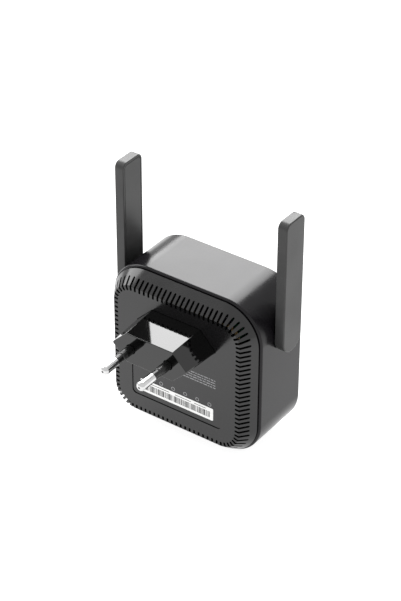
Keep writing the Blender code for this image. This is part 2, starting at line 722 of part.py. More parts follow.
def make_light_guide():
    """A clear rod from above the LED to the front face, with a flange behind the front wall."""
    top = MAIN_REAR_Y - FIT - 0.0008 - FIT
    flange = FRONT_INNER_Y + FIT
    wide = WINDOW_RADIUS + 0.0010
    profile = [(0, top), (WINDOW_RADIUS, top), (WINDOW_RADIUS, flange + 0.0008)]
    profile += [(wide, flange + 0.0008), (wide, flange), (WINDOW_RADIUS, flange)]
    profile += [(WINDOW_RADIUS, FRONT_Y + 0.0002), (0, FRONT_Y + 0.0002)]
    frame = frame_at(0, 0, BOTTOM_Z + WINDOW_RISE, ALONG_Y)
    smooth(turned("light_guide", profile, frame, "clear_plastic", steps=16))


def make_reset_button():
    """A stem through the underside, with a flange that keeps it in. Its origin is on its axis."""
    end = BUTTON_RECESS
    flange = WALL + FIT
    top = SWITCH_BOTTOM_Z - BOTTOM_Z - BUTTON_TRAVEL - FIT / 3
    profile = [(0, top), (BUTTON_RADIUS, top), (BUTTON_RADIUS, flange + BUTTON_FLANGE_THICKNESS)]
    profile += [(BUTTON_FLANGE, flange + BUTTON_FLANGE_THICKNESS), (BUTTON_FLANGE, flange)]
    profile += [(BUTTON_RADIUS, flange), (BUTTON_RADIUS, end + 0.0003)]
    profile += [(BUTTON_RADIUS - 0.0003, end), (0, end)]
    frame = frame_at(BUTTON_X, BUTTON_Y, BOTTOM_Z, ALONG_Z)
    smooth(turned("reset_button", profile, frame, "button_plastic", steps=20))


def make_screw(name, x, z, face, toward):
    """A pan-head screw whose head rests on face and whose shank runs toward -Y or +Y."""
    profile = [
        (0, SCREW_HEAD),
        (SCREW_HEAD_RADIUS * 0.7, SCREW_HEAD),
        (SCREW_HEAD_RADIUS, SCREW_HEAD * 0.5),
        (SCREW_HEAD_RADIUS, 0),
        (SCREW_RADIUS, 0),
        (SCREW_RADIUS, -SCREW_LENGTH + SCREW_RADIUS),
        (0, -SCREW_LENGTH),
    ]
    frame = ALONG_Y if toward < 0 else Matrix.Rotation(math.pi, 4, "X") @ ALONG_Y
    place = frame_at(x, face - toward * FIT / 2, CENTRE_Z + z, frame)
    smooth(turned(name, profile, place, "zinc", steps=12))


# ---- Antennas -----------------------------------------------------------------------------------
def antenna_outline(inset):
    """Paddle outline in (y, z) about the hinge: a round lower end and small top corners."""
    radius = ANTENNA_WIDTH / 2 - inset
    top = ANTENNA_LENGTH - ANTENNA_WIDTH / 2 - inset
    corner = max(ANTENNA_CORNER - inset, 0.0003)
    points = arc((0, 0), radius, 180, 360, 14)
    points += arc((radius - corner, top - corner), corner, 0, 90, 3)
    points += arc((corner - radius, top - corner), corner, 90, 180, 3)
    return points


def antenna_slab(name, inset, near, far, side, look=None):
    """A slab of the paddle's outline between two distances out from the antenna's inner face."""
    low, high = sorted((side * (ANTENNA_INNER_X + near), side * (ANTENNA_INNER_X + far)))
    return slab(name, antenna_outline(inset), low, high, ALONG_X, look)


def out_frame(side):
    """Third axis along the hinge, outward from the body on this side."""
    return ALONG_X if side > 0 else Matrix.Rotation(math.pi, 4, "Z") @ ALONG_X


def hang(obj, axis):
    """Make a piece ride on the antenna's hinge."""
    obj.parent = axis
    return obj


def make_antenna(side, word):
    axis = bpy.data.objects.new(f"{word}_antenna_axis", None)
    HELPERS.objects.link(axis)
    axis.location = (0, HINGE_Y, HINGE_Z)
    look = "antenna_plastic"
    shell = antenna_slab(f"{word}_antenna_shell", 0, 0, ANTENNA_THICKNESS, side, look)
    hollow = antenna_slab(f"{word}_antenna_hollow", ANTENNA_WALL, -0.001, CAVITY_DEPTH, side)
    hang(shell, axis)
    boolean(shell, hang(hollow, axis))
    smooth(shell)
    seam = ANTENNA_WALL + 0.00015
    cover = antenna_slab(f"{word}_antenna_cover", seam, 0, ANTENNA_COVER, side, look)
    hang(cover, axis)
    hole = cylinder(
        f"{word}_cover_hole",
        PIVOT_RADIUS + 0.0002,
        ANTENNA_INNER_X - 0.001,
        ANTENNA_INNER_X + CAVITY_DEPTH,
        out_frame(side),
    )
    boolean(cover, hang(hole, axis))
    smooth(cover)
    middle = ANTENNA_INNER_X + (ANTENNA_COVER + CAVITY_DEPTH) / 2
    low_end = PIVOT_FLANGE + 0.0010
    high_end = ANTENNA_LENGTH - ANTENNA_WIDTH / 2 - 0.0040
    radiator = block(
        f"{word}_antenna_radiator",
        (RADIATOR_THICKNESS, ANTENNA_WIDTH - 2 * ANTENNA_WALL - 0.0014, high_end - low_end),
        (side * middle, 0, (low_end + high_end) / 2),
        "green_fibre",
    )
    hang(radiator, axis)
    make_hinge(side, word, axis)


def make_hinge(side, word, axis):
    """The hollow pivot, its clip and spring, and the washer between antenna and side wall."""
    frame = out_frame(side)
    flange = ANTENNA_INNER_X + ANTENNA_COVER + 0.00015
    inner_end = HALF_WIDTH - WALL - PIVOT_REACH
    groove = inner_end + 0.0005
    groove_end = groove + CLIP_THICKNESS + 0.0003
    groove_radius = PIVOT_RADIUS - GROOVE_DEPTH
    profile = [
        (PIVOT_FLANGE, flange + PIVOT_FLANGE_THICKNESS),
        (PIVOT_FLANGE, flange),
        (PIVOT_RADIUS, flange),
        (PIVOT_RADIUS, groove_end),
        (groove_radius, groove_end),
        (groove_radius, groove),
        (PIVOT_RADIUS, groove),
        (PIVOT_RADIUS, inner_end),
        (PIVOT_BORE, inner_end),
        (PIVOT_BORE, flange + PIVOT_FLANGE_THICKNESS),
    ]
    pivot = turned(f"{word}_antenna_pivot", profile, frame, "pivot_nylon", ring=True)
    smooth(hang(pivot, axis))
    mouth = 35
    opening = arc((0, 0), CLIP_RADIUS, 270 + mouth, 630 - mouth, 16)
    opening += arc((0, 0), groove_radius + 0.0001, 630 - mouth, 270 + mouth, 16)
    low, high = sorted((side * (groove + 0.00015), side * (groove + 0.00015 + CLIP_THICKNESS)))
    hang(slab(f"{word}_pivot_clip", opening, low, high, ALONG_X, "spring_steel"), axis)
    spring_low = groove_end + 0.0002
    spring_high = HALF_WIDTH - WALL - HINGE_PAD - FIT
    spring_bore = PIVOT_RADIUS + PIVOT_CLEARANCE
    hang(
        washer(
            f"{word}_hinge_spring",
            CLIP_RADIUS,
            spring_bore,
            spring_low,
            spring_high,
            frame,
            "spring_steel",
        ),
        axis,
    )
    place = frame_at(0, HINGE_Y, HINGE_Z, frame)
    washer(
        f"{word}_hinge_washer",
        WASHER_RADIUS,
        spring_bore,
        HALF_WIDTH - WASHER_SEAT + WASHER_GAP,
        ANTENNA_INNER_X - WASHER_GAP,
        place,
        "pivot_nylon",
    )


def make_coax(side, word):
    """The aerial lead: out of the pivot's bore on the hinge axis, then round to the main board."""
    connector = Vector((side * (HALF_WIDTH - 0.0108), MAIN_FACE_Y, HINGE_Z - 0.0095))
    cap = 0.0013
    frame = frame_at(connector.x, MAIN_FACE_Y + FIT, connector.z, ALONG_Y)
    cylinder(f"{word}_coax_connector", 0.0016, 0, cap, frame, "brass", steps=12)
    start = Vector((side * HALF_WIDTH, HINGE_Y, HINGE_Z))
    leave = Vector((side * (HALF_WIDTH - WALL - PIVOT_REACH - 0.0006), HINGE_Y, HINGE_Z))
    end = connector + Vector((0, 2 * FIT + cap, 0))
    bend = interpolate_bezier(
        leave, leave - Vector((side * 0.0045, 0, 0)), end + Vector((0, 0.0045, 0)), end, 10
    )
    route = [start] + list(bend)
    curve = bpy.data.curves.new(f"{word}_coax_cable", "CURVE")
    curve.dimensions = "3D"
    curve.bevel_depth = COAX_RADIUS
    curve.bevel_resolution = 1
    curve.use_fill_caps = True
    spline = curve.splines.new("POLY")
    spline.points.add(len(route) - 1)
    for point, place in zip(spline.points, route):
        point.co = (*place, 1)
    add_object(f"{word}_coax_cable", curve, "cable_jacket")


# ---- Assembly -----------------------------------------------------------------------------------
def make_looks():
    return {
        "housing_plastic": material("housing_plastic", (0.020, 0.020, 0.021), 0.30),
        "cover_plastic": material("cover_plastic", (0.030, 0.030, 0.031), 0.42),
        "plug_plastic": material("plug_plastic", (0.012, 0.012, 0.013), 0.22),
        "antenna_plastic": material("antenna_plastic", (0.022, 0.022, 0.023), 0.38),
        "sleeve_plastic": material("sleeve_plastic", (0.010, 0.010, 0.010), 0.40),
        "nickel": material("nickel", (0.78, 0.76, 0.73), 0.18, 1.0),
        "copper": material("copper", (0.80, 0.48, 0.30), 0.35, 1.0),
        "brass": material("brass", (0.80, 0.62, 0.30), 0.30, 1.0),
        "paper_label": material("paper_label", (0.80, 0.80, 0.79), 0.60),
        "mains_fibre": material("mains_fibre", (0.42, 0.30, 0.14), 0.60),
        "green_fibre": material("green_fibre", (0.02, 0.14, 0.06), 0.45),
        "ferrite": material("ferrite", (0.05, 0.05, 0.055), 0.65),
        "tape": material("tape", (0.75, 0.58, 0.12), 0.50),
        "capacitor_sleeve": material("capacitor_sleeve", (0.02, 0.03, 0.08), 0.35),
        "blue_epoxy": material("blue_epoxy", (0.06, 0.18, 0.50), 0.35),
        "chip": material("chip", (0.02, 0.02, 0.02), 0.55),
        "fuse_body": material("fuse_body", (0.45, 0.43, 0.38), 0.40),
        "tinned_steel": material("tinned_steel", (0.62, 0.62, 0.60), 0.35, 1.0),
        "spring_steel": material("spring_steel", (0.50, 0.50, 0.52), 0.35, 1.0),
        "zinc": material("zinc", (0.65, 0.66, 0.68), 0.35, 1.0),
        "aluminium": material("aluminium", (0.75, 0.76, 0.78), 0.40, 1.0),
        "pad_rubber": material("pad_rubber", (0.35, 0.38, 0.45), 0.80),
        "led_resin": material("led_resin", (0.85, 0.85, 0.70), 0.30),
        "clear_plastic": material("clear_plastic", (0.85, 0.88, 0.90), 0.10, 0.0, 0.5),
        "button_plastic": material("button_plastic", (0.05, 0.05, 0.05), 0.45),
        "pivot_nylon": material("pivot_nylon", (0.03, 0.03, 0.03), 0.50),
        "cable_jacket": material("cable_jacket", (0.03, 0.03, 0.03), 0.50),
    }


clear_scene()
PIECES = new_collection("wifi_range_extender")
HELPERS = new_collection("helpers")
LOOKS = make_looks()

make_front_housing()
make_back_cover()
make_barcode_label()
make_plug_block()
make_power_supply()
make_radio_board()
make_light_guide()
make_reset_button()
for number, (post_x, post_z) in enumerate(MAIN_POSTS, 1):
    make_screw(f"main_board_screw_{number}", post_x, post_z, MAIN_FACE_Y, -1)
for number, (post_x, post_z) in enumerate((MAINS_POSTS[0], MAINS_POSTS[3]), 1):
    make_screw(f"mains_board_screw_{number}", post_x, post_z, MAINS_FACE_Y, 1)
for pin_side, pin_word in ((-1, "left"), (1, "right")):
    make_pin(pin_side, pin_word)
    make_mains_contact(pin_side, pin_word)
    make_antenna(pin_side, pin_word)
    make_coax(pin_side, pin_word)
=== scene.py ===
"""Looks of the plug-in WiFi range extender: shells, vents, plug, pins, antennas and every finish.

Metres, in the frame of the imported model: the plug points along +Y, the front face looks along -Y,
+Z is up. "Right" is the +X side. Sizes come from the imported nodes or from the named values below.
"""

import json
import math

import bmesh
import bpy
from mathutils import Matrix, Vector


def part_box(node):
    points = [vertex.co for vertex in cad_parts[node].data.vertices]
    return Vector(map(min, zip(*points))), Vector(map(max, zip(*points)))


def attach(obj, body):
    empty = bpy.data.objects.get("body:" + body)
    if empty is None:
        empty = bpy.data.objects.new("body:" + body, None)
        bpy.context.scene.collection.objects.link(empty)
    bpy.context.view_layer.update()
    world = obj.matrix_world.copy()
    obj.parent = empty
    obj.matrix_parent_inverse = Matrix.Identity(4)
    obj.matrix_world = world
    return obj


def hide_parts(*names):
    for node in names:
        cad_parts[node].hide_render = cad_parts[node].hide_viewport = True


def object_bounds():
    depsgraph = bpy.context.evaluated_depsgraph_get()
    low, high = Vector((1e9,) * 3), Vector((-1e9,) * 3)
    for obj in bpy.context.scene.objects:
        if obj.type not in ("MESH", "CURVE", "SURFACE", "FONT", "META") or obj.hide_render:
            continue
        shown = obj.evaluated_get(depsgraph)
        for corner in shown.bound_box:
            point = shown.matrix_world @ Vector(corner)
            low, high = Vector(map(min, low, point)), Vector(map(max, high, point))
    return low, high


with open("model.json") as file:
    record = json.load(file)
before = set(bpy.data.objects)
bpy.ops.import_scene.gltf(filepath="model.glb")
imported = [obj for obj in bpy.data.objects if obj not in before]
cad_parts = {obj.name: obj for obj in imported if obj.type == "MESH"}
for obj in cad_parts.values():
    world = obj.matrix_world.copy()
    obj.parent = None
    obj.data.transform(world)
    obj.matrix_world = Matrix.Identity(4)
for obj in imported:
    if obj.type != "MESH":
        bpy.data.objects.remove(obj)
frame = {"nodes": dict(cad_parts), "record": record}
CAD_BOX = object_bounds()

# ---- Camera and studio --------------------------------------------------------------------------
CAMERA_AZIMUTH = 217.10
CAMERA_ELEVATION = 36.01
CAMERA_DISTANCE = 0.8164
CAMERA_ROLL = -0.84
CAMERA_LENS = 124.5
AIM_RIGHT = 0.0202  # the point looked at, from the plug face's centre, across and up the picture
AIM_UP = 0.0223
FLOOR_SIZE = 6.0
FLOOR_GAP = 0.0015
FLOOR_THICKNESS = 0.01
FLOOR_ROUNDING = 0.98  # share of half the floor, so it is nearly a disc
FLOOR_STEPS = 48
WORLD_STRENGTH = 0.95
FLOOR_COLOUR = (0.30, 0.30, 0.30)
FLOOR_ROUGHNESS = 0.85
FLOOR_GLOW = 0.90
LIT_POINT = (0, -0.02, 0)  # the soft boxes face this
# Each soft box: the direction it stands in, its distance, its width and height, and its watts.
SOFT_BOXES = {
    "far_box": ((0.50, -0.65, 0.62), 1.1, (0.9, 0.7), 18),
    "near_box": ((0.95, 0.10, 0.62), 1.2, (0.8, 0.8), 9),
}

# ---- Body ---------------------------------------------------------------------------------------
BODY_CORNER = 0.0175
WALL = 0.0018
FRONT_FILLET = 0.0010
SEAM_STEP = 0.00095  # the housing's rounded edge stands this far outside the cover's edge
RIM_DEPTH = 0.0066
RIM_INSET_X = 0.0044
RIM_INSET_Z = 0.00525
CREASE_CORNER = 0.0098
CREASE_FILLET = 0.0006
CREASE_STEPS = 6
COVER_LIP = 0.00035  # rounding of the cover's edge at the seam
TONGUE_WALL = 0.0010
FIT = 0.0003
SLOT_PITCH = 0.0022
SLOT_WIDTH = 0.00098
SLOT_INNER = 0.0023
SLOT_OUTER = 0.0026
RECESS_SIDE_MARGIN = 0.00885
RECESS_FOOT_MARGIN = 0.00825
RECESS_BELOW_PLUG = 0.0034
RECESS_DEPTH = 0.00035
RECESS_CORNER = 0.0020
POST_RADIUS = 0.0025
PILOT_RADIUS = 0.0010
HINGE_PAD = 0.0006
HINGE_PAD_RADIUS = 0.0052
HINGE_ROOM_RADIUS = 0.0043
PIVOT_HOLE_RADIUS = 0.0031
WASHER_SEAT = 0.0008
WINDOW_RADIUS = 0.0016
WINDOW_FLANGE = 0.0008
WINDOW_CROWN = (0.6, 0.00002)  # share of its radius, and how far back its face is there
WINDOW_EASE = ((0.0002, 0.0001), (0.0, 0.0003))  # in from the edge, back from the face
BUTTON_HOLE_RADIUS = 0.00165
BUTTON_CLEARANCE = 0.00025
BUTTON_FLANGE = 0.0009
BUTTON_DISH = 0.00012
BUTTON_EASE = ((0.0003, 0.0), (0.0001, 0.0001), (0.0, 0.0003))

# ---- Plug and pins ------------------------------------------------------------------------------
PLUG_WIDTH = 0.0359
PLUG_HEIGHT = 0.0138
PLUG_TOP_FLAT = 0.0226
PLUG_TIP_FLAT = 0.0006
PLUG_DRAFT = 0.0009
PLUG_FACE = 0.0030
PLUG_WALL = 0.0018
PLUG_FLANGE = 0.0016
PLUG_FLANGE_THICKNESS = 0.0013
PLUG_FIT = 0.00015
PLUG_EDGE = 0.00035
PLUG_FACE_EDGE = 0.0003
PIN_RADIUS = 0.0020
PIN_CORE_RADIUS = 0.00145
PIN_METAL = 0.0085  # bare nickel at the end of each pin
PIN_EDGE = 0.0001
PIN_DOME = 0.0016  # height of the rounded tip
PIN_DIMPLE = 0.00045
PIN_DIMPLE_DEPTH = 0.0020
PIN_DIMPLE_CONE = 0.0002
DOME_STEPS = 12
DOME_START = 8  # degrees from the axis
SLEEVE_TAIL = 0.0010  # how far the sleeve goes on inside the plug's face wall
NECK_SHOULDER = 0.0003
NECK_SHOULDER_DROP = 0.00006
PIN_END_TOLERANCE = 0.00006  # how near a pin's end a point of it has to be to count as on it
GROOVES = 3
GROOVE_TO_NECK = 0.0022
GROOVE_LEAD = 0.0002
GROOVE_PITCH = 0.0007
GROOVE_WIDTH = 0.0003
GROOVE_DEPTH = 0.00012
GROOVE_EASE = 0.00008
SLEEVE_NECK = 0.0032
SLEEVE_NECK_RADIUS = 0.00175
SLEEVE_GAP = 0.0001

# ---- Antennas -----------------------------------------------------------------------------------
ANTENNA_WALL = 0.0010
ANTENNA_CORNER = 0.0028
ANTENNA_EDGE = 0.00055
COVER_GAP = 0.00015
COVER_EDGE = 0.0001
WASHER_EASE = 0.00015

# ---- Sticker and printing -----------------------------------------------------------------------
INK = 0.00001  # thickness of the printed ink
PAPER = 0.00010
PAPER_CORNER = 0.0006
BAR_MODULE = 0.00019  # narrowest bar of the code
BARS_LEFT = 0.0013  # margins of the code
BARS_RIGHT = 0.0018
BARS_LOW = -0.0019
BARS_HIGH = 0.0011
RULE_LOW = 0.0018  # the thin rules above the code
RULE_HIGH = 0.0021
# Where each row of dashes starts and ends, as a share of half the recess.
PRINT_ROWS = ((-0.10, 0.34), (0.02, 0.86), (0.08, 0.86), (-0.08, 0.86), (0.10, 0.86))
PRINT_BELOW_TOP = 0.0022
PRINT_PITCH = 0.0012
PRINT_HEIGHT = 0.00042
PRINT_FIRST_HEIGHT = 0.0007
DASH_SHORTEST = 0.0007
DASH_GROWTH = 0.0004
DASH_GAP = 0.00035
# The thin rules above the code, as shares of the sticker's width from its middle.
STICKER_RULES = ((-0.40, -0.10), (-0.02, 0.20), (0.24, 0.40))
RINGS = 5
RING_FIRST = -0.35  # across the panel, as a share of half the recess, and so is the pitch
RING_PITCH = 0.27
RING_LOWER = 0.0030  # the row of rings, below the recess's middle
RING_RADIUS = 0.00090
RING_HOLE = 0.00066
LARGE_RING_RADIUS = 0.0012
LARGE_RING_HOLE = 0.00095
LARGE_RING_BELOW_TOP = 0.0035
LARGE_RINGS = 2
LARGE_RING_PITCH = 0.0045
LARGE_RING_ACROSS = -0.78  # as a share of half the recess
RING_STEPS = 24

# ---- Roundness ----------------------------------------------------------------------------------
CORNER_STEPS = 20
ROUND_STEPS = 64
POST_STEPS = 32


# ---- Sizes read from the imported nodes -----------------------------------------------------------
HOUSING_LOW, HOUSING_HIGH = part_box("front_housing")
COVER_LOW, COVER_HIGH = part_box("back_cover")
LABEL_LOW, LABEL_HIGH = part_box("barcode_label")
HALF_WIDTH = HOUSING_HIGH.x
HALF_HEIGHT = (HOUSING_HIGH.z - HOUSING_LOW.z) / 2
CENTRE_Z = (HOUSING_HIGH.z + HOUSING_LOW.z) / 2
HOUSING_Y = HOUSING_HIGH.y
FRONT_Y = HOUSING_LOW.y
FRONT_INNER_Y = FRONT_Y + WALL
PANEL_Y = COVER_HIGH.y
SEAM_Y = PANEL_Y - RIM_DEPTH
TONGUE_Y = COVER_LOW.y
CREASE_INSET_X = SEAM_STEP + RIM_INSET_X
CREASE_INSET_Z = SEAM_STEP + RIM_INSET_Z
CREASE_X = HALF_WIDTH - CREASE_INSET_X
CREASE_Z = HALF_HEIGHT - CREASE_INSET_Z


# ---- Mesh helpers -------------------------------------------------------------------------------
def new_object(name, bm, look=None):
    """An object of this mesh with outward faces, linked to the scene."""
    bmesh.ops.recalc_face_normals(bm, faces=bm.faces)
    if bm.calc_volume(signed=True) < 0:
        bmesh.ops.reverse_faces(bm, faces=bm.faces)
    mesh = bpy.data.meshes.new(name)
    bm.to_mesh(mesh)
    bm.free()
    obj = bpy.data.objects.new(name, mesh)
    bpy.context.scene.collection.objects.link(obj)
    if look:
        mesh.materials.append(look)
    return obj


def arc(centre, radius, start, end, steps):
    """Points of an arc from start to end degrees, both ends included."""
    angles = (math.radians(start + (end - start) * i / steps) for i in range(steps + 1))
    return [(centre[0] + radius * math.cos(a), centre[1] + radius * math.sin(a)) for a in angles]


def rounded_rectangle(width, height, corner, steps=CORNER_STEPS):
    x, z = width / 2 - corner, height / 2 - corner
    corners = ((x, z, 0), (-x, z, 90), (-x, -z, 180), (x, -z, 270))
    return [p for cx, cz, a in corners for p in arc((cx, cz), corner, a, a + 90, steps)]


def rounded_polygon(points, radius, steps=5):
    """A convex outline, counter-clockwise, with each corner rounded by an arc."""
    outline = []
    for before, corner, after in zip(points[-1:] + points[:-1], points, points[1:] + points[:1]):
        corner = Vector(corner)
        into = (Vector(before) - corner).normalized()
        out = (Vector(after) - corner).normalized()
        half = into.angle(out) / 2
        centre = corner + (into + out).normalized() * radius / math.sin(half)
        first = corner + into * radius / math.tan(half) - centre
        turn = math.pi - 2 * half
        for i in range(steps + 1):
            a = turn * i / steps
            outline.append(
                (
                    centre.x + first.x * math.cos(a) - first.y * math.sin(a),
                    centre.y + first.x * math.sin(a) + first.y * math.cos(a),
                )
            )
    return outline


def skin(rings):
    """A closed mesh through rings of equally many points, capped at both ends."""
    bm = bmesh.new()
    loops = [[bm.verts.new(p) for p in ring] for ring in rings]
    count = len(loops[0])
    for near, far in zip(loops, loops[1:]):
        for i in range(count):
            j = (i + 1) % count
            bm.faces.new((near[i], near[j], far[j], far[i]))
    bm.faces.new(loops[0])
    bm.faces.new(loops[-1])
    return bm


def fillet(radius, steps=6):
    """(inset, rise) pairs round a quarter circle, from the full inset to none."""
    return [
        (radius * (1 - math.sin(a)), radius * (1 - math.cos(a)))
        for a in (math.pi / 2 * i / steps for i in range(steps + 1))
    ]


def turned(profile, frame_matrix, steps=ROUND_STEPS):
    """(radius, height) points turned about the frame's third axis. Radius 0 is a point on the axis.
    A profile that doesn't touch the axis is closed on itself, as a ring."""
    bm = bmesh.new()
    loops = []
    for radius, height in profile:
        if radius == 0:
            loops.append([bm.verts.new((0, 0, height))])
        else:
            angles = (2 * math.pi * i / steps for i in range(steps))
            loops.append(
                [bm.verts.new((radius * math.cos(a), radius * math.sin(a), height)) for a in angles]
            )
    pairs = list(zip(loops, loops[1:]))
    if profile[0][0] > 0:
        pairs.append((loops[-1], loops[0]))
    for near, far in pairs:
        for i in range(steps):
            j = (i + 1) % steps
            if len(near) == 1:
                bm.faces.new((near[0], far[i], far[j]))
            elif len(far) == 1:
                bm.faces.new((near[i], near[j], far[0]))
            else:
                bm.faces.new((near[i], near[j], far[j], far[i]))
    bmesh.ops.transform(bm, matrix=frame_matrix, verts=bm.verts)
    return bm


def prism(outline, low, high, frame_matrix):
    """A flat outline made thick, from low to high along the frame's third axis."""
    bm = skin([[(a, b, height) for a, b in outline] for height in (low, high)])
    bmesh.ops.transform(bm, matrix=frame_matrix, verts=bm.verts)
    return bm


def frame_along(direction, place):
    """A frame at place whose third axis runs along direction."""
    return Matrix.Translation(place) @ Vector(direction).to_track_quat("Z", "Y").to_matrix().to_4x4()


def joined(meshes):
    """One mesh of several that don't touch."""
    whole = bmesh.new()
    for bm in meshes:
        part = bpy.data.meshes.new("part")
        bm.to_mesh(part)
        bm.free()
        whole.from_mesh(part)
        bpy.data.meshes.remove(part)
    return whole


def carve(obj, bm, operation="DIFFERENCE"):
    """Cut the mesh from obj, or unite it, and keep the result."""
    tool = new_object("tool", bm)
    modifier = obj.modifiers.new("carve", "BOOLEAN")
    modifier.operation = operation
    modifier.object = tool
    bpy.context.view_layer.update()
    graph = bpy.context.evaluated_depsgraph_get()
    mesh = bpy.data.meshes.new_from_object(obj.evaluated_get(graph))
    obj.modifiers.clear()
    obj.data = mesh
    bpy.data.objects.remove(tool, do_unlink=True)


def soften(obj, angle=30):
    """Smooth shading that stays crisp at real edges and even over large flat faces."""
    obj.data.shade_smooth()
    obj.data.set_sharp_from_angle(angle=math.radians(angle))
    weighted = obj.modifiers.new("even_normals", "WEIGHTED_NORMAL")
    weighted.keep_sharp = True


def place(obj, body, slot, *nodes):
    """obj rides on the body and stands for these nodes. The slot is not used."""
    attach(obj, body)
    if nodes:
        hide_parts(*nodes)


# ---- Finishes -----------------------------------------------------------------------------------
WAVE_PERIODS = 20  # bands that Blender's wave texture makes over 2 pi, at scale 1
CLOUD_SIZE = 0.006  # patches of slightly different colour in a plastic
CLOUD_SPREAD = 0.12
SHEEN_SIZE = 0.012  # patches of slightly different roughness in a plastic
SHEEN_SPREAD = 0.12  # as a share of the roughness
WAVINESS_SIZE = 0.020  # a moulded face's long, shallow waves
WAVINESS_DEPTH = 0.00001


class Finish:
    """A node material built step by step.

    Noise in the piece's own coordinates drives its colour, roughness and bump.
    """

    def __init__(self, name, colour, roughness, metallic=0.0):
        self.material = bpy.data.materials.new(name)
        self.material.use_nodes = True
        self.nodes = self.material.node_tree.nodes
        self.links = self.material.node_tree.links
        self.shader = self.nodes["Principled BSDF"]
        self.shader.inputs["Base Color"].default_value = (*colour, 1)
        self.shader.inputs["Roughness"].default_value = roughness
        self.shader.inputs["Metallic"].default_value = metallic
        self.colour = colour
        self.roughness = roughness
        self.place = self.nodes.new("ShaderNodeTexCoord").outputs["Object"]
        self.height = None

    def set(self, **values):
        for name, value in values.items():
            socket = name.replace("_", " ").title().replace("Ior", "IOR")
            self.shader.inputs[socket].default_value = value
        return self

    def stretched(self, scale):
        mapping = self.nodes.new("ShaderNodeMapping")
        mapping.inputs["Scale"].default_value = scale
        self.links.new(self.place, mapping.inputs["Vector"])
        return mapping.outputs["Vector"]

    def noise(self, size, detail=2.0, stretch=None):
        """Noise whose features are about this many metres across."""
        made = self.nodes.new("ShaderNodeTexNoise")
        made.inputs["Scale"].default_value = 1 / size
        made.inputs["Detail"].default_value = detail
        made.inputs["Roughness"].default_value = 0.5
        self.links.new(self.stretched(stretch) if stretch else self.place, made.inputs["Vector"])
        return made.outputs["Fac"]

    def ramp(self, value, low, high, from_low=0.3, from_high=0.7):
        made = self.nodes.new("ShaderNodeMapRange")
        limits = {"From Min": from_low, "From Max": from_high, "To Min": low, "To Max": high}
        for name, number in limits.items():
            made.inputs[name].default_value = number
        self.links.new(value, made.inputs["Value"])
        return made.outputs["Result"]

    def blend(self, factor, first, second):
        """Colour that runs from the first to the second as the factor rises from 0 to 1."""
        made = self.nodes.new("ShaderNodeMix")
        made.data_type = "RGBA"
        colours = {"A": first, "B": second}
        for socket in made.inputs:
            if socket.type == "RGBA" and socket.name in colours:
                socket.default_value = (*colours[socket.name], 1)
        self.links.new(factor, made.inputs["Factor"])
        result = next(o for o in made.outputs if o.type == "RGBA")
        self.links.new(result, self.shader.inputs["Base Color"])
        return self

    def mottle(self, size, spread, detail=3.0, stretch=None):
        """Colour that varies by this share, lighter and darker, over patches of the size."""
        darker = [min(1.0, c * (1 - spread)) for c in self.colour]
        lighter = [min(1.0, c * (1 + spread)) for c in self.colour]
        return self.blend(self.ramp(self.noise(size, detail, stretch), 0, 1), darker, lighter)

    def wear(self, size, spread, detail=3.0, stretch=None):
        """Roughness that varies by this much over patches of the size."""
        low, high = self.roughness - spread, self.roughness + spread
        value = self.ramp(self.noise(size, detail, stretch), low, high)
        self.links.new(value, self.shader.inputs["Roughness"])
        return self

    def grain(self, size, depth, detail=2.0, stretch=None):
        """Bump of this depth in metres; further calls add finer bumps on top."""
        bump = self.nodes.new("ShaderNodeBump")
        bump.inputs["Distance"].default_value = depth
        bump.inputs["Strength"].default_value = 1.0
        self.links.new(self.noise(size, detail, stretch), bump.inputs["Height"])
        if self.height:
            self.links.new(self.height, bump.inputs["Normal"])
        self.height = bump.outputs["Normal"]
        self.links.new(self.height, self.shader.inputs["Normal"])
        return self

    def bands(self, size, axis, dark):
        """Stripes across an axis, the dark ones with this share of the colour, as layers of tape."""
        wave = self.nodes.new("ShaderNodeTexWave")
        wave.bands_direction = axis
        wave.inputs["Scale"].default_value = 1 / size / WAVE_PERIODS * 2 * math.pi
        wave.inputs["Distortion"].default_value = 0.6
        wave.inputs["Detail Scale"].default_value = 2.0
        self.links.new(self.place, wave.inputs["Vector"])
        return self.blend(
            self.ramp(wave.outputs["Fac"], 0, 1, 0.0, 0.5), [c * dark for c in self.colour], self.colour
        )


def plastic(name, colour, roughness, grain_size, grain_depth):
    """Moulded plastic: a fine spark-eroded grain, faint cloudiness in the colour and handling sheen."""
    finish = Finish(name, colour, roughness)
    finish.mottle(CLOUD_SIZE, CLOUD_SPREAD).wear(SHEEN_SIZE, roughness * SHEEN_SPREAD)
    return finish.grain(WAVINESS_SIZE, WAVINESS_DEPTH, 1.0).grain(grain_size, grain_depth, 3.0)


def metal(name, colour, roughness, stretch):
    """Bright metal with drawn or rolled scratches along one axis."""
    finish = Finish(name, colour, roughness, 1.0)
    finish.mottle(0.002, 0.06).wear(0.0004, roughness * 0.3, 4.0, stretch)
    return finish.grain(0.0003, 0.0000012, 3.0, stretch)


def mottled(name, colour, roughness, patch, spread, grain_size, grain_depth):
    """A surface with patches of lighter and darker colour and a fine grain."""
    return Finish(name, colour, roughness).mottle(patch, spread).grain(grain_size, grain_depth)


def banded(name, colour, roughness, pitch, axis, dark, grain_size, grain_depth):
    """A surface with stripes across an axis and a fine grain."""
    return Finish(name, colour, roughness).bands(pitch, axis, dark).grain(grain_size, grain_depth)


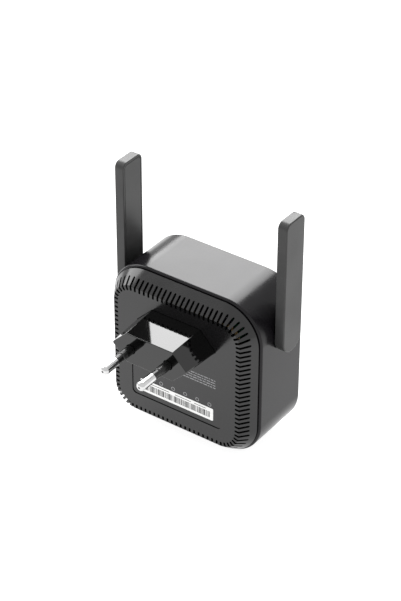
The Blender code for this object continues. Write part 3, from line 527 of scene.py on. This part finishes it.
# Plastics: colour, roughness, grain size, grain depth.
PLASTICS = {
    "housing_plastic": ((0.0050, 0.0044, 0.0056), 0.23, 0.00022, 0.000002),
    "cover_plastic": ((0.0035, 0.0033, 0.0037), 0.19, 0.00026, 0.000002),
    "plug_plastic": ((0.0006, 0.0006, 0.0006), 0.05, 0.0006, 0.0000006),
    "antenna_plastic": ((0.032, 0.032, 0.032), 0.38, 0.00020, 0.000004),
    "sleeve_plastic": ((0.0030, 0.0030, 0.0030), 0.25, 0.0005, 0.000002),
    "button_plastic": ((0.05, 0.05, 0.052), 0.40, 0.00020, 0.000004),
    "pivot_nylon": ((0.022, 0.022, 0.023), 0.45, 0.0004, 0.000004),
    "cable_jacket": ((0.02, 0.02, 0.02), 0.45, 0.0003, 0.000006),
}
# Reflectivity of the plastics that aren't at the usual 0.5.
SPECULAR_LEVELS = {
    "housing_plastic": 0.25,
    "cover_plastic": 0.58,
    "plug_plastic": 0.60,
    "antenna_plastic": 0.33,
}
# Metals: colour, roughness, and how the scratches are stretched along X, Y and Z.
SCRATCHED_ALONG_X = (1, 12, 12)
SCRATCHED_ALONG_Y = (12, 1, 12)
METALS = {
    "nickel": ((0.62, 0.62, 0.62), 0.08, SCRATCHED_ALONG_Y),
    "copper": ((0.80, 0.48, 0.30), 0.30, SCRATCHED_ALONG_Y),
    "brass": ((0.80, 0.62, 0.30), 0.26, SCRATCHED_ALONG_X),
    "tinned_steel": ((0.62, 0.62, 0.60), 0.30, SCRATCHED_ALONG_X),
    "spring_steel": ((0.50, 0.50, 0.52), 0.30, SCRATCHED_ALONG_X),
    "zinc": ((0.65, 0.66, 0.68), 0.32, SCRATCHED_ALONG_X),
    "aluminium": ((0.75, 0.76, 0.78), 0.38, SCRATCHED_ALONG_Y),
}
# Others: colour, roughness, patch size, spread of the colour, grain size, grain depth.
MOTTLED = {
    "paper_label": ((0.83, 0.83, 0.82), 0.45, 0.0015, 0.015, 0.0003, 0.000003),
    "mains_fibre": ((0.42, 0.30, 0.14), 0.55, 0.0008, 0.12, 0.0005, 0.00001),
    "ferrite": ((0.05, 0.05, 0.055), 0.62, 0.0006, 0.35, 0.0004, 0.00003),
    "capacitor_sleeve": ((0.02, 0.03, 0.08), 0.28, 0.004, 0.2, 0.002, 0.00001),
    "blue_epoxy": ((0.06, 0.18, 0.50), 0.22, 0.002, 0.15, 0.003, 0.00008),
    "chip": ((0.02, 0.02, 0.02), 0.50, 0.001, 0.2, 0.00015, 0.000006),
    "fuse_body": ((0.45, 0.43, 0.38), 0.30, 0.001, 0.1, 0.0006, 0.00001),
    "pad_rubber": ((0.35, 0.38, 0.45), 0.75, 0.001, 0.15, 0.0006, 0.00003),
    "led_resin": ((0.85, 0.85, 0.70), 0.20, 0.0006, 0.06, 0.0005, 0.000004),
    "clear_plastic": ((0.75, 0.78, 0.80), 0.18, 0.002, 0.05, 0.0015, 0.000003),
    "print_ink": ((0.30, 0.30, 0.31), 0.5, 0.0008, 0.12, 0.0003, 0.000002),
    "barcode_ink": ((0.012, 0.012, 0.013), 0.4, 0.0008, 0.2, 0.0003, 0.000002),
}
# Striped: colour, roughness, pitch, axis, share of the colour in the dark stripes, grain size, depth.
BANDED = {
    "green_fibre": ((0.02, 0.14, 0.06), 0.35, 0.0012, "X", 0.75, 0.0006, 0.00001),
    "tape": ((0.75, 0.55, 0.10), 0.35, 0.0009, "Y", 0.82, 0.003, 0.00004),
}


def make_finishes():
    """The material of every slot of the record, and of the two inks."""
    made = {}
    for make, table in ((plastic, PLASTICS), (metal, METALS), (mottled, MOTTLED), (banded, BANDED)):
        made.update({name: make(name, *values) for name, values in table.items()})
    for name, level in SPECULAR_LEVELS.items():
        made[name].set(specular_ior_level=level)
    made["clear_plastic"].set(transmission_weight=0.6)
    return {name: finish.material for name, finish in made.items()}


# ---- Front housing ------------------------------------------------------------------------------
def body_ring(inset_x, inset_z, corner, y):
    """The body's rounded outline at depth y, moved in by the two insets."""
    outline = rounded_rectangle(2 * (HALF_WIDTH - inset_x), 2 * (HALF_HEIGHT - inset_z), corner)
    return [(x, y, CENTRE_Z + z) for x, z in outline]


def even_ring(inset, y):
    """The body's outline at depth y, moved in evenly all round."""
    return body_ring(inset, inset, BODY_CORNER - inset, y)


def node_centre(node):
    low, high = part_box(node)
    return (low + high) / 2


def hinge_place():
    """The hinge axis, from the round foot of an antenna."""
    low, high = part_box("right_antenna_shell")
    return Vector((0, (low.y + high.y) / 2, low.z + (high.y - low.y) / 2))


def round_bar(radius, low, high, direction, at, steps=ROUND_STEPS):
    """A round bar along a direction, from low to high as measured from the point at."""
    profile = [(0, low), (radius, low), (radius, high), (0, high)]
    return turned(profile, frame_along(direction, at), steps)


def posts(places, low, high, radius):
    """Screw posts along Y at these places across and up."""
    return joined([round_bar(radius, low, high, (0, 1, 0), (x, 0, z), POST_STEPS) for x, z in places])


def make_housing():
    rings = [even_ring(WALL, HOUSING_Y)]
    rings += [even_ring(inset, HOUSING_Y - rise) for inset, rise in fillet(SEAM_STEP)]
    rings += [even_ring(inset, FRONT_Y + rise) for inset, rise in reversed(fillet(FRONT_FILLET, 8))]
    rings.insert(0, even_ring(WALL, FRONT_INNER_Y))
    housing = new_object("front_shell", skin(rings), LOOKS["housing_plastic"])
    screws = [node_centre(f"main_board_screw_{i}") for i in (1, 2, 3, 4)]
    places = [(p.x, p.z) for p in screws]
    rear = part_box("main_board")[0].y - FIT
    carve(housing, posts(places, FRONT_INNER_Y - WALL / 2, rear, POST_RADIUS), "UNION")
    carve(housing, posts(places, FRONT_INNER_Y, rear + FIT, PILOT_RADIUS))
    hinge = hinge_place()
    seat = HALF_WIDTH - WALL - HINGE_PAD
    washer_low, washer_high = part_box("right_hinge_washer")
    washer_seat_radius = (washer_high.z - washer_low.z) / 2 + FIT
    for side in (-1, 1):
        out = (side, 0, 0)
        pad = round_bar(HINGE_PAD_RADIUS, seat, seat + HINGE_PAD + WALL / 2, out, hinge)
        carve(housing, pad, "UNION")
        carve(housing, round_bar(HINGE_ROOM_RADIUS, seat - 4 * WALL, seat, out, hinge))
        carve(housing, round_bar(PIVOT_HOLE_RADIUS, seat - WALL, HALF_WIDTH + WALL, out, hinge))
        washer_floor = HALF_WIDTH - WASHER_SEAT
        carve(housing, round_bar(washer_seat_radius, washer_floor, HALF_WIDTH + WALL, out, hinge))
    window = node_centre("light_guide")
    button = node_centre("reset_button")
    window_at = (window.x, FRONT_Y, window.z)
    button_at = (button.x, button.y, HOUSING_LOW.z)
    carve(housing, round_bar(WINDOW_RADIUS + FIT, -WALL, 2 * WALL, (0, 1, 0), window_at))
    carve(housing, round_bar(BUTTON_HOLE_RADIUS, -WALL, 2 * WALL, (0, 0, 1), button_at))
    soften(housing)
    place(housing, "housing", "housing_plastic", "front_housing")


# ---- Back cover ---------------------------------------------------------------------------------
def slot_stations():
    """Where the vents cross the crease: (x, z, outward angle), evenly pitched on each stretch."""
    straight_x = CREASE_X - CREASE_CORNER
    straight_z = CREASE_Z - CREASE_CORNER
    stations = []
    for side, (reach, straight) in enumerate(((CREASE_X, straight_z), (CREASE_Z, straight_x)) * 2):
        count = round(2 * straight / SLOT_PITCH)
        local = [(reach, straight * (2 * (i + 0.5) / count - 1), 0.0) for i in range(count)]
        steps = round(CREASE_CORNER * math.pi / 2 / SLOT_PITCH)
        for i in range(steps):
            a = math.pi / 2 * (i + 0.5) / steps
            centre = reach - CREASE_CORNER
            across, along = CREASE_CORNER * math.cos(a), CREASE_CORNER * math.sin(a)
            local.append((centre + across, straight + along, a))
        turn = math.pi / 2 * side
        for a, b, angle in local:
            x = a * math.cos(turn) - b * math.sin(turn)
            z = a * math.sin(turn) + b * math.cos(turn)
            stations.append((x, z, angle + turn))
    return stations


def slot_bars():
    """The round-ended bars that cut the vents through the flat panel and the rim."""
    radius = SLOT_WIDTH / 2
    ends = ((SLOT_OUTER - radius, -90), (radius - SLOT_INNER, 90))
    outline = [p for middle, start in ends for p in arc((middle, 0), radius, start, start + 180, 8)]
    floor = PANEL_Y - RIM_DEPTH * SLOT_OUTER / RIM_INSET_X - WALL / 2
    bars = []
    for x, z, angle in slot_stations():
        c, s = math.cos(angle), math.sin(angle)
        turn = Matrix(((c, -s, 0), (0, 0, 1), (s, c, 0))).to_4x4()
        centre = Matrix.Translation((x, 0, CENTRE_Z + z))
        bars.append(prism(outline, floor, PANEL_Y + WALL, centre @ turn))
    return joined(bars)


def recess_span():
    """The lowest and highest Z of the label recess."""
    low = CENTRE_Z - CREASE_Z + RECESS_FOOT_MARGIN
    return low, -PLUG_HEIGHT / 2 - PLUG_DRAFT - RECESS_BELOW_PLUG


def facing_out(y=0.0, x=0.0, z=0.0):
    """A frame for flat work on the back panel: axes to the reader's right, up and out of the panel."""
    return Matrix.Translation((x, y, z)) @ Matrix(((-1, 0, 0), (0, 0, 1), (0, 1, 0))).to_4x4()


def make_cover():
    tongue = WALL + FIT
    half_wall = WALL / 2
    inner_x, inner_z = CREASE_INSET_X + half_wall, CREASE_INSET_Z + half_wall
    rings = [
        body_ring(inner_x, inner_z, CREASE_CORNER - half_wall, PANEL_Y - WALL),
        even_ring(tongue + TONGUE_WALL, SEAM_Y + TONGUE_WALL),
        even_ring(tongue + TONGUE_WALL, TONGUE_Y),
        even_ring(tongue, TONGUE_Y),
        even_ring(tongue, SEAM_Y),
    ]
    rings += [even_ring(SEAM_STEP + inset, SEAM_Y + rise) for inset, rise in fillet(COVER_LIP)]
    slope = math.atan2(RIM_INSET_X, RIM_DEPTH)
    for i in range(CREASE_STEPS + 1):
        a = slope + (math.pi / 2 - slope) * i / CREASE_STEPS
        inset = CREASE_FILLET * (math.cos(slope) - math.cos(a))
        y = PANEL_Y - CREASE_FILLET * (1 - math.sin(a))
        inset_x, inset_z = CREASE_INSET_X + inset, CREASE_INSET_Z + inset
        rings.append(body_ring(inset_x, inset_z, CREASE_CORNER - inset, y))
    cover = new_object("rear_shell", skin(rings), LOOKS["cover_plastic"])
    screws = [node_centre(f"mains_board_screw_{i}") for i in (1, 2)]
    places = [(sx * screws[0].x, z) for z in (screws[0].z, screws[1].z) for sx in (-1, 1)]
    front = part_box("mains_board")[1].y + FIT
    carve(cover, posts(places, front, PANEL_Y - WALL / 2, POST_RADIUS), "UNION")
    carve(cover, posts(places, front - FIT, PANEL_Y - WALL / 2, PILOT_RADIUS))
    carve(cover, slot_bars())
    carve(cover, skin([plug_ring(y, PLUG_FIT) for y in (PANEL_Y + WALL, PANEL_Y - 2 * WALL)]))
    low, high = recess_span()
    outline = rounded_rectangle(2 * (CREASE_X - RECESS_SIDE_MARGIN), high - low, RECESS_CORNER, 10)
    carve(cover, prism(outline, -RECESS_DEPTH, WALL, facing_out(PANEL_Y, 0, (low + high) / 2)))
    soften(cover)
    place(cover, "housing", "cover_plastic", "back_cover")


# ---- Sticker and printing -----------------------------------------------------------------------
def bar(left, right, low, high, bottom, top, frame_matrix):
    return prism([(left, low), (right, low), (right, high), (left, high)], bottom, top, frame_matrix)


def ring_mark(radius, hole, x, z, frame_matrix):
    """A printed ring round a point of the panel."""
    profile = [(radius, 0), (radius, INK), (hole, INK), (hole, 0)]
    return turned(profile, frame_matrix @ Matrix.Translation((x, z, 0)), RING_STEPS)


def make_label():
    width = LABEL_HIGH.x - LABEL_LOW.x
    height = LABEL_HIGH.z - LABEL_LOW.z
    frame_matrix = facing_out(LABEL_LOW.y, 0, (LABEL_LOW.z + LABEL_HIGH.z) / 2)
    paper = prism(rounded_rectangle(width, height, PAPER_CORNER, 6), 0, PAPER, frame_matrix)
    label = new_object("sticker", paper, LOOKS["paper_label"])
    soften(label)
    place(label, "housing", "paper_label", "barcode_label")
    top = PAPER + INK
    bars, at, step = [], -width / 2 + BARS_LEFT, 0
    while at < width / 2 - BARS_RIGHT:
        wide = BAR_MODULE * (1 + (step * step * 7 + step * 3) % 5 % 3)
        bars.append(bar(at, at + wide, BARS_LOW, BARS_HIGH, PAPER, top, frame_matrix))
        at += wide + BAR_MODULE * (1 + (step * 5 + step * step) % 7 % 3)
        step += 1
    for left, right in STICKER_RULES:
        bars.append(bar(left * width, right * width, RULE_LOW, RULE_HIGH, PAPER, top, frame_matrix))
    printed = new_object("sticker_print", joined(bars), LOOKS["barcode_ink"])
    place(printed, "housing", "paper_label")


def make_panel_print():
    """Dashed rules and rings where the panel carries its printing: no words and no marks."""
    low, high = recess_span()
    half = CREASE_X - RECESS_SIDE_MARGIN
    frame_matrix = facing_out(PANEL_Y - RECESS_DEPTH)
    marks = []
    for row, (start, end) in enumerate(PRINT_ROWS):
        z = high - PRINT_BELOW_TOP - row * PRINT_PITCH
        half_tall = (PRINT_HEIGHT if row else PRINT_FIRST_HEIGHT) / 2
        at = start * half
        step = 0
        while at < end * half:
            long = min(DASH_SHORTEST + DASH_GROWTH * ((step * 5 + row * 3) % 4), end * half - at)
            marks.append(bar(at, at + long, z - half_tall, z + half_tall, 0, INK, frame_matrix))
            at += long + DASH_GAP
            step += 1
    for i in range(RINGS):
        x, z = half * (RING_FIRST + RING_PITCH * i), (low + high) / 2 - RING_LOWER
        marks.append(ring_mark(RING_RADIUS, RING_HOLE, x, z, frame_matrix))
    for i in range(LARGE_RINGS):
        x, z = half * LARGE_RING_ACROSS, high - LARGE_RING_BELOW_TOP - LARGE_RING_PITCH * i
        marks.append(ring_mark(LARGE_RING_RADIUS, LARGE_RING_HOLE, x, z, frame_matrix))
    printed = new_object("panel_print", joined(marks), LOOKS["print_ink"])
    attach(printed, "housing")


# ---- Plug and pins ------------------------------------------------------------------------------
def plug_ring(y, grow=0.0):
    """The plug block's outline at depth y: a flat hexagon with blunt side points and eased edges."""
    grow += PLUG_DRAFT * -y / -PANEL_Y
    tip = (PLUG_WIDTH / 2 + grow * math.sqrt(2), PLUG_TIP_FLAT / 2)
    top = (PLUG_TOP_FLAT / 2 + grow * (math.sqrt(2) - 1), PLUG_HEIGHT / 2 + grow)
    points = [tip, top, (-top[0], top[1]), (-tip[0], tip[1])]
    points += [(-a, -b) for a, b in points]
    return [(x, y, z) for x, z in rounded_polygon(points, PLUG_EDGE)]


def make_plug():
    flange_y = PANEL_Y - WALL - PLUG_FIT
    foot = flange_y - PLUG_FLANGE_THICKNESS
    rings = [plug_ring(-PLUG_FACE, -PLUG_WALL), plug_ring(foot, -PLUG_WALL)]
    rings += [plug_ring(foot, PLUG_FLANGE), plug_ring(flange_y, PLUG_FLANGE), plug_ring(flange_y)]
    rings += [plug_ring(-rise, -inset) for inset, rise in reversed(fillet(PLUG_FACE_EDGE))]
    plug = new_object("plug_body", skin(rings), LOOKS["plug_plastic"])
    holes = []
    for word in ("left", "right"):
        tail, tip = pin_ends(word)
        start = point_at(tail, tip, -2 * PLUG_FACE)
        holes.append(round_bar(PIN_RADIUS + FIT, 0, 3 * PLUG_FACE, tip - tail, start))
    carve(plug, joined(holes))
    soften(plug)
    place(plug, "housing", "plug_plastic", "plug_block")


def pin_ends(word):
    """The centres of a pin's inner end and of its tip."""
    points = [v.co for v in frame["nodes"][f"{word}_pin"].data.vertices]
    ends = []
    for pick in (min, max):
        y = pick(p.y for p in points)
        near = [p for p in points if abs(p.y - y) < PIN_END_TOLERANCE]
        low = Vector((min(p.x for p in near), min(p.y for p in near), min(p.z for p in near)))
        high = Vector((max(p.x for p in near), max(p.y for p in near), max(p.z for p in near)))
        ends.append((low + high) / 2)
    return ends


def point_at(tail, tip, y):
    """The point of the pin's axis at depth y."""
    return tail + (tip - tail) * ((y - tail.y) / (tip.y - tail.y))


def make_pin(word):
    tail, tip = pin_ends(word)
    length = (tip - tail).length
    frame_matrix = frame_along(tip - tail, tail)
    shoulder = length - PIN_METAL
    bottom = length - PIN_DIMPLE_DEPTH
    profile = [(0, bottom), (PIN_DIMPLE, bottom + PIN_DIMPLE_CONE), (PIN_DIMPLE, length - PIN_EDGE)]
    for i in range(2, DOME_STEPS + 1):
        a = math.radians(DOME_START + (90 - DOME_START) * i / DOME_STEPS)
        profile.append((PIN_RADIUS * math.sin(a), length - PIN_DOME + PIN_DOME * math.cos(a)))
    profile += [(PIN_RADIUS, shoulder + PIN_EDGE), (PIN_RADIUS - PIN_EDGE, shoulder)]
    profile += [(PIN_CORE_RADIUS, shoulder), (PIN_CORE_RADIUS, 0), (0, 0)]
    pin = new_object(f"{word}_pin_bright", turned(profile, frame_matrix), LOOKS["nickel"])
    soften(pin)
    place(pin, "housing", "nickel", f"{word}_pin")
    make_sleeve(word, tail, tip, shoulder - SLEEVE_GAP)


def make_sleeve(word, tail, tip, top):
    """The insulating sleeve round a pin, from inside the plug up to its thinner neck at the top."""
    bore = PIN_CORE_RADIUS + SLEEVE_GAP
    neck = top - SLEEVE_NECK
    base = (point_at(tail, tip, -PLUG_FACE - SLEEVE_TAIL) - tail).length
    first = neck - GROOVE_TO_NECK
    profile = [(bore, base), (PIN_RADIUS, base), (PIN_RADIUS, first - GROOVE_LEAD)]
    for groove in range(GROOVES):
        low = first + groove * GROOVE_PITCH
        floor = PIN_RADIUS - GROOVE_DEPTH
        profile += [(PIN_RADIUS, low), (floor, low + GROOVE_EASE)]
        profile += [(floor, low + GROOVE_WIDTH - GROOVE_EASE), (PIN_RADIUS, low + GROOVE_WIDTH)]
    profile += [(PIN_RADIUS, neck - NECK_SHOULDER)]
    profile += [(PIN_RADIUS - NECK_SHOULDER_DROP, neck - NECK_SHOULDER / 2)]
    profile += [(SLEEVE_NECK_RADIUS, neck), (SLEEVE_NECK_RADIUS, top - PIN_EDGE)]
    profile += [(SLEEVE_NECK_RADIUS - PIN_EDGE, top), (bore, top)]
    mesh = turned(profile, frame_along(tip - tail, tail))
    sleeve = new_object(f"{word}_sleeve", mesh, LOOKS["sleeve_plastic"])
    soften(sleeve)
    place(sleeve, "housing", "sleeve_plastic", f"{word}_pin_sleeve")


# ---- Antennas -----------------------------------------------------------------------------------
def paddle(inset, width, length):
    """Paddle outline (across, up) about the hinge: a round foot and small top corners."""
    radius = width / 2 - inset
    top = length - width / 2 - inset
    corner = max(ANTENNA_CORNER - inset, 0.0002)
    points = arc((0, 0), radius, 180, 360, 40)
    points += arc((radius - corner, top - corner), corner, 0, 90, 8)
    return points + arc((corner - radius, top - corner), corner, 90, 180, 8)


def make_antenna(side, word):
    low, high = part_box(f"{word}_antenna_shell")
    cover_low, cover_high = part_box(f"{word}_antenna_cover")
    width, length, thick = high.y - low.y, high.z - low.z, high.x - low.x
    inner = min(abs(low.x), abs(high.x))
    hinge = hinge_place()

    def ring(inset, out):
        x = side * (inner + out)
        return [(x, hinge.y + a, hinge.z + b) for a, b in paddle(inset, width, length)]

    rings = [ring(ANTENNA_WALL, thick - ANTENNA_WALL), ring(ANTENNA_WALL, COVER_EDGE)]
    rings += [ring(ANTENNA_WALL - COVER_EDGE, 0)]
    rings += [ring(inset, rise) for inset, rise in fillet(ANTENNA_EDGE * 0.7)]
    rings += [ring(inset, thick - rise) for inset, rise in reversed(fillet(ANTENNA_EDGE))]
    shell = new_object(f"{word}_paddle", skin(rings), LOOKS["antenna_plastic"])
    soften(shell)
    body = f"{word}_antenna"
    place(shell, body, "antenna_plastic", f"{word}_antenna_shell")
    gap = ANTENNA_WALL + COVER_GAP
    deep = cover_high.x - cover_low.x
    rings = [ring(gap, deep), ring(gap, COVER_EDGE), ring(gap + COVER_EDGE, 0)]
    cover = new_object(f"{word}_paddle_cover", skin(rings), LOOKS["antenna_plastic"])
    pivot_radius = PIVOT_HOLE_RADIUS - FIT + 0.0002
    start = (side * (inner - 0.001), hinge.y, hinge.z)
    carve(cover, round_bar(pivot_radius, 0, deep + 0.002, (side, 0, 0), start))
    soften(cover)
    place(cover, body, "antenna_plastic", f"{word}_antenna_cover")
    make_washer(side, word, hinge)


def make_washer(side, word, hinge):
    low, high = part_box(f"{word}_hinge_washer")
    outer = (high.y - low.y) / 2
    inner = PIVOT_HOLE_RADIUS
    near, far = sorted((abs(low.x), abs(high.x)))
    profile = [(inner, near), (outer - WASHER_EASE, near), (outer, near + WASHER_EASE)]
    profile += [(outer, far - WASHER_EASE), (outer - WASHER_EASE, far), (inner, far)]
    mesh = turned(profile, frame_along((side, 0, 0), hinge))
    washer = new_object(f"{word}_friction_washer", mesh, LOOKS["pivot_nylon"])
    soften(washer)
    place(washer, "housing", "pivot_nylon", f"{word}_hinge_washer")


# ---- Small visible pieces -----------------------------------------------------------------------
def make_window():
    low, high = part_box("light_guide")
    middle = node_centre("light_guide")
    flange_radius = (high.x - low.x) / 2
    flange = FRONT_INNER_Y + FIT
    back = flange + WINDOW_FLANGE
    crown, back_there = WINDOW_CROWN
    profile = [(0, low.y), (WINDOW_RADIUS * crown, low.y + back_there)]
    profile += [(WINDOW_RADIUS - inset, low.y + rise) for inset, rise in WINDOW_EASE]
    profile += [(WINDOW_RADIUS, flange), (flange_radius, flange), (flange_radius, back)]
    profile += [(WINDOW_RADIUS, back), (WINDOW_RADIUS, high.y), (0, high.y)]
    mesh = turned(profile, frame_along((0, 1, 0), (middle.x, 0, middle.z)))
    guide = new_object("light_window", mesh, LOOKS["clear_plastic"])
    soften(guide)
    place(guide, "housing", "clear_plastic", "light_guide")


def make_button():
    low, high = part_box("reset_button")
    middle = node_centre("reset_button")
    flange_radius = (high.x - low.x) / 2
    radius = BUTTON_HOLE_RADIUS - BUTTON_CLEARANCE
    flange = HOUSING_LOW.z + WALL + FIT
    back = flange + BUTTON_FLANGE
    profile = [(0, low.z + BUTTON_DISH), (radius * 0.5, low.z + BUTTON_DISH * 0.7)]
    profile += [(radius - inset, low.z + rise) for inset, rise in BUTTON_EASE]
    profile += [(radius, flange), (flange_radius, flange)]
    profile += [(flange_radius, back), (radius, back), (radius, high.z), (0, high.z)]
    frame_matrix = frame_along((0, 0, 1), (middle.x, middle.y, 0))
    button = new_object("reset_key", turned(profile, frame_matrix), LOOKS["button_plastic"])
    soften(button)
    place(button, "reset_button", "button_plastic", "reset_button")


def finish_carried_nodes():
    """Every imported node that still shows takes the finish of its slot."""
    slot_of = {part["node"]: part["material_slot"] for part in frame["record"]["subparts"]}
    for name, obj in frame["nodes"].items():
        if not obj.hide_render:
            obj.data.materials.clear()
            obj.data.materials.append(LOOKS[slot_of[name]])


# ---- Studio -------------------------------------------------------------------------------------
def camera_axes():
    """Right, up and back of a level camera at the azimuth and elevation, turned by the roll."""
    a, e, roll = (math.radians(v) for v in (CAMERA_AZIMUTH, CAMERA_ELEVATION, CAMERA_ROLL))
    back = Vector((math.sin(a) * math.cos(e), -math.cos(a) * math.cos(e), math.sin(e)))
    right = Vector((math.cos(a), math.sin(a), 0))
    up = back.cross(right)
    c, s = math.cos(roll), math.sin(roll)
    return right * c + up * s, up * c - right * s, back


def make_camera():
    right, up, back = camera_axes()
    data = bpy.data.cameras.new("camera")
    data.lens = CAMERA_LENS
    data.sensor_width = 36
    data.clip_start, data.clip_end = 0.01, 50
    camera = bpy.data.objects.new("camera", data)
    bpy.context.scene.collection.objects.link(camera)
    place_at = back * CAMERA_DISTANCE
    back = (place_at - right * AIM_RIGHT - up * AIM_UP).normalized()
    up = (up - back * up.dot(back)).normalized()
    right = up.cross(back)
    turn = Matrix((right, up, back)).transposed().to_4x4()
    camera.matrix_world = Matrix.Translation(place_at) @ turn
    bpy.context.scene.camera = camera


def soft_box(name, direction, distance, size, power):
    """A rectangular area light that faces the object from this direction."""
    data = bpy.data.lights.new(name, "AREA")
    data.shape = "RECTANGLE"
    data.size, data.size_y = size
    data.energy = power
    light = bpy.data.objects.new(name, data)
    bpy.context.scene.collection.objects.link(light)
    away = Vector(direction).normalized()
    light.matrix_world = frame_along(away, away * distance + Vector(LIT_POINT))


def make_floor():
    """A pale, slightly glowing floor that comes out white and shows hardly any shadow."""
    finish = Finish("floor", FLOOR_COLOUR, FLOOR_ROUGHNESS)
    finish.mottle(0.4, 0.004)
    finish.set(emission_color=(1, 1, 1, 1), emission_strength=FLOOR_GLOW)
    half = FLOOR_SIZE / 2
    top = CAD_BOX[0].z - FLOOR_GAP
    outline = rounded_rectangle(FLOOR_SIZE, FLOOR_SIZE, half * FLOOR_ROUNDING, FLOOR_STEPS)
    slab = prism(outline, top - FLOOR_THICKNESS, top, Matrix.Identity(4))
    floor = new_object("floor", slab, finish.material)


def make_studio():
    world = bpy.data.worlds.new("studio")
    world.use_nodes = True
    background = world.node_tree.nodes["Background"]
    background.inputs["Color"].default_value = (1, 1, 1, 1)
    background.inputs["Strength"].default_value = WORLD_STRENGTH
    bpy.context.scene.world = world
    bpy.context.scene.view_settings.view_transform = "Standard"
    make_floor()
    for name, values in SOFT_BOXES.items():
        soft_box(name, *values)


# ---- Assembly -----------------------------------------------------------------------------------
LOOKS = make_finishes()
make_housing()
make_cover()
make_label()
make_panel_print()
make_plug()
for pin_word in ("left", "right"):
    make_pin(pin_word)
for antenna_side, antenna_word in ((-1, "left"), (1, "right")):
    make_antenna(antenna_side, antenna_word)
make_window()
make_button()
finish_carried_nodes()
make_camera()
make_studio()
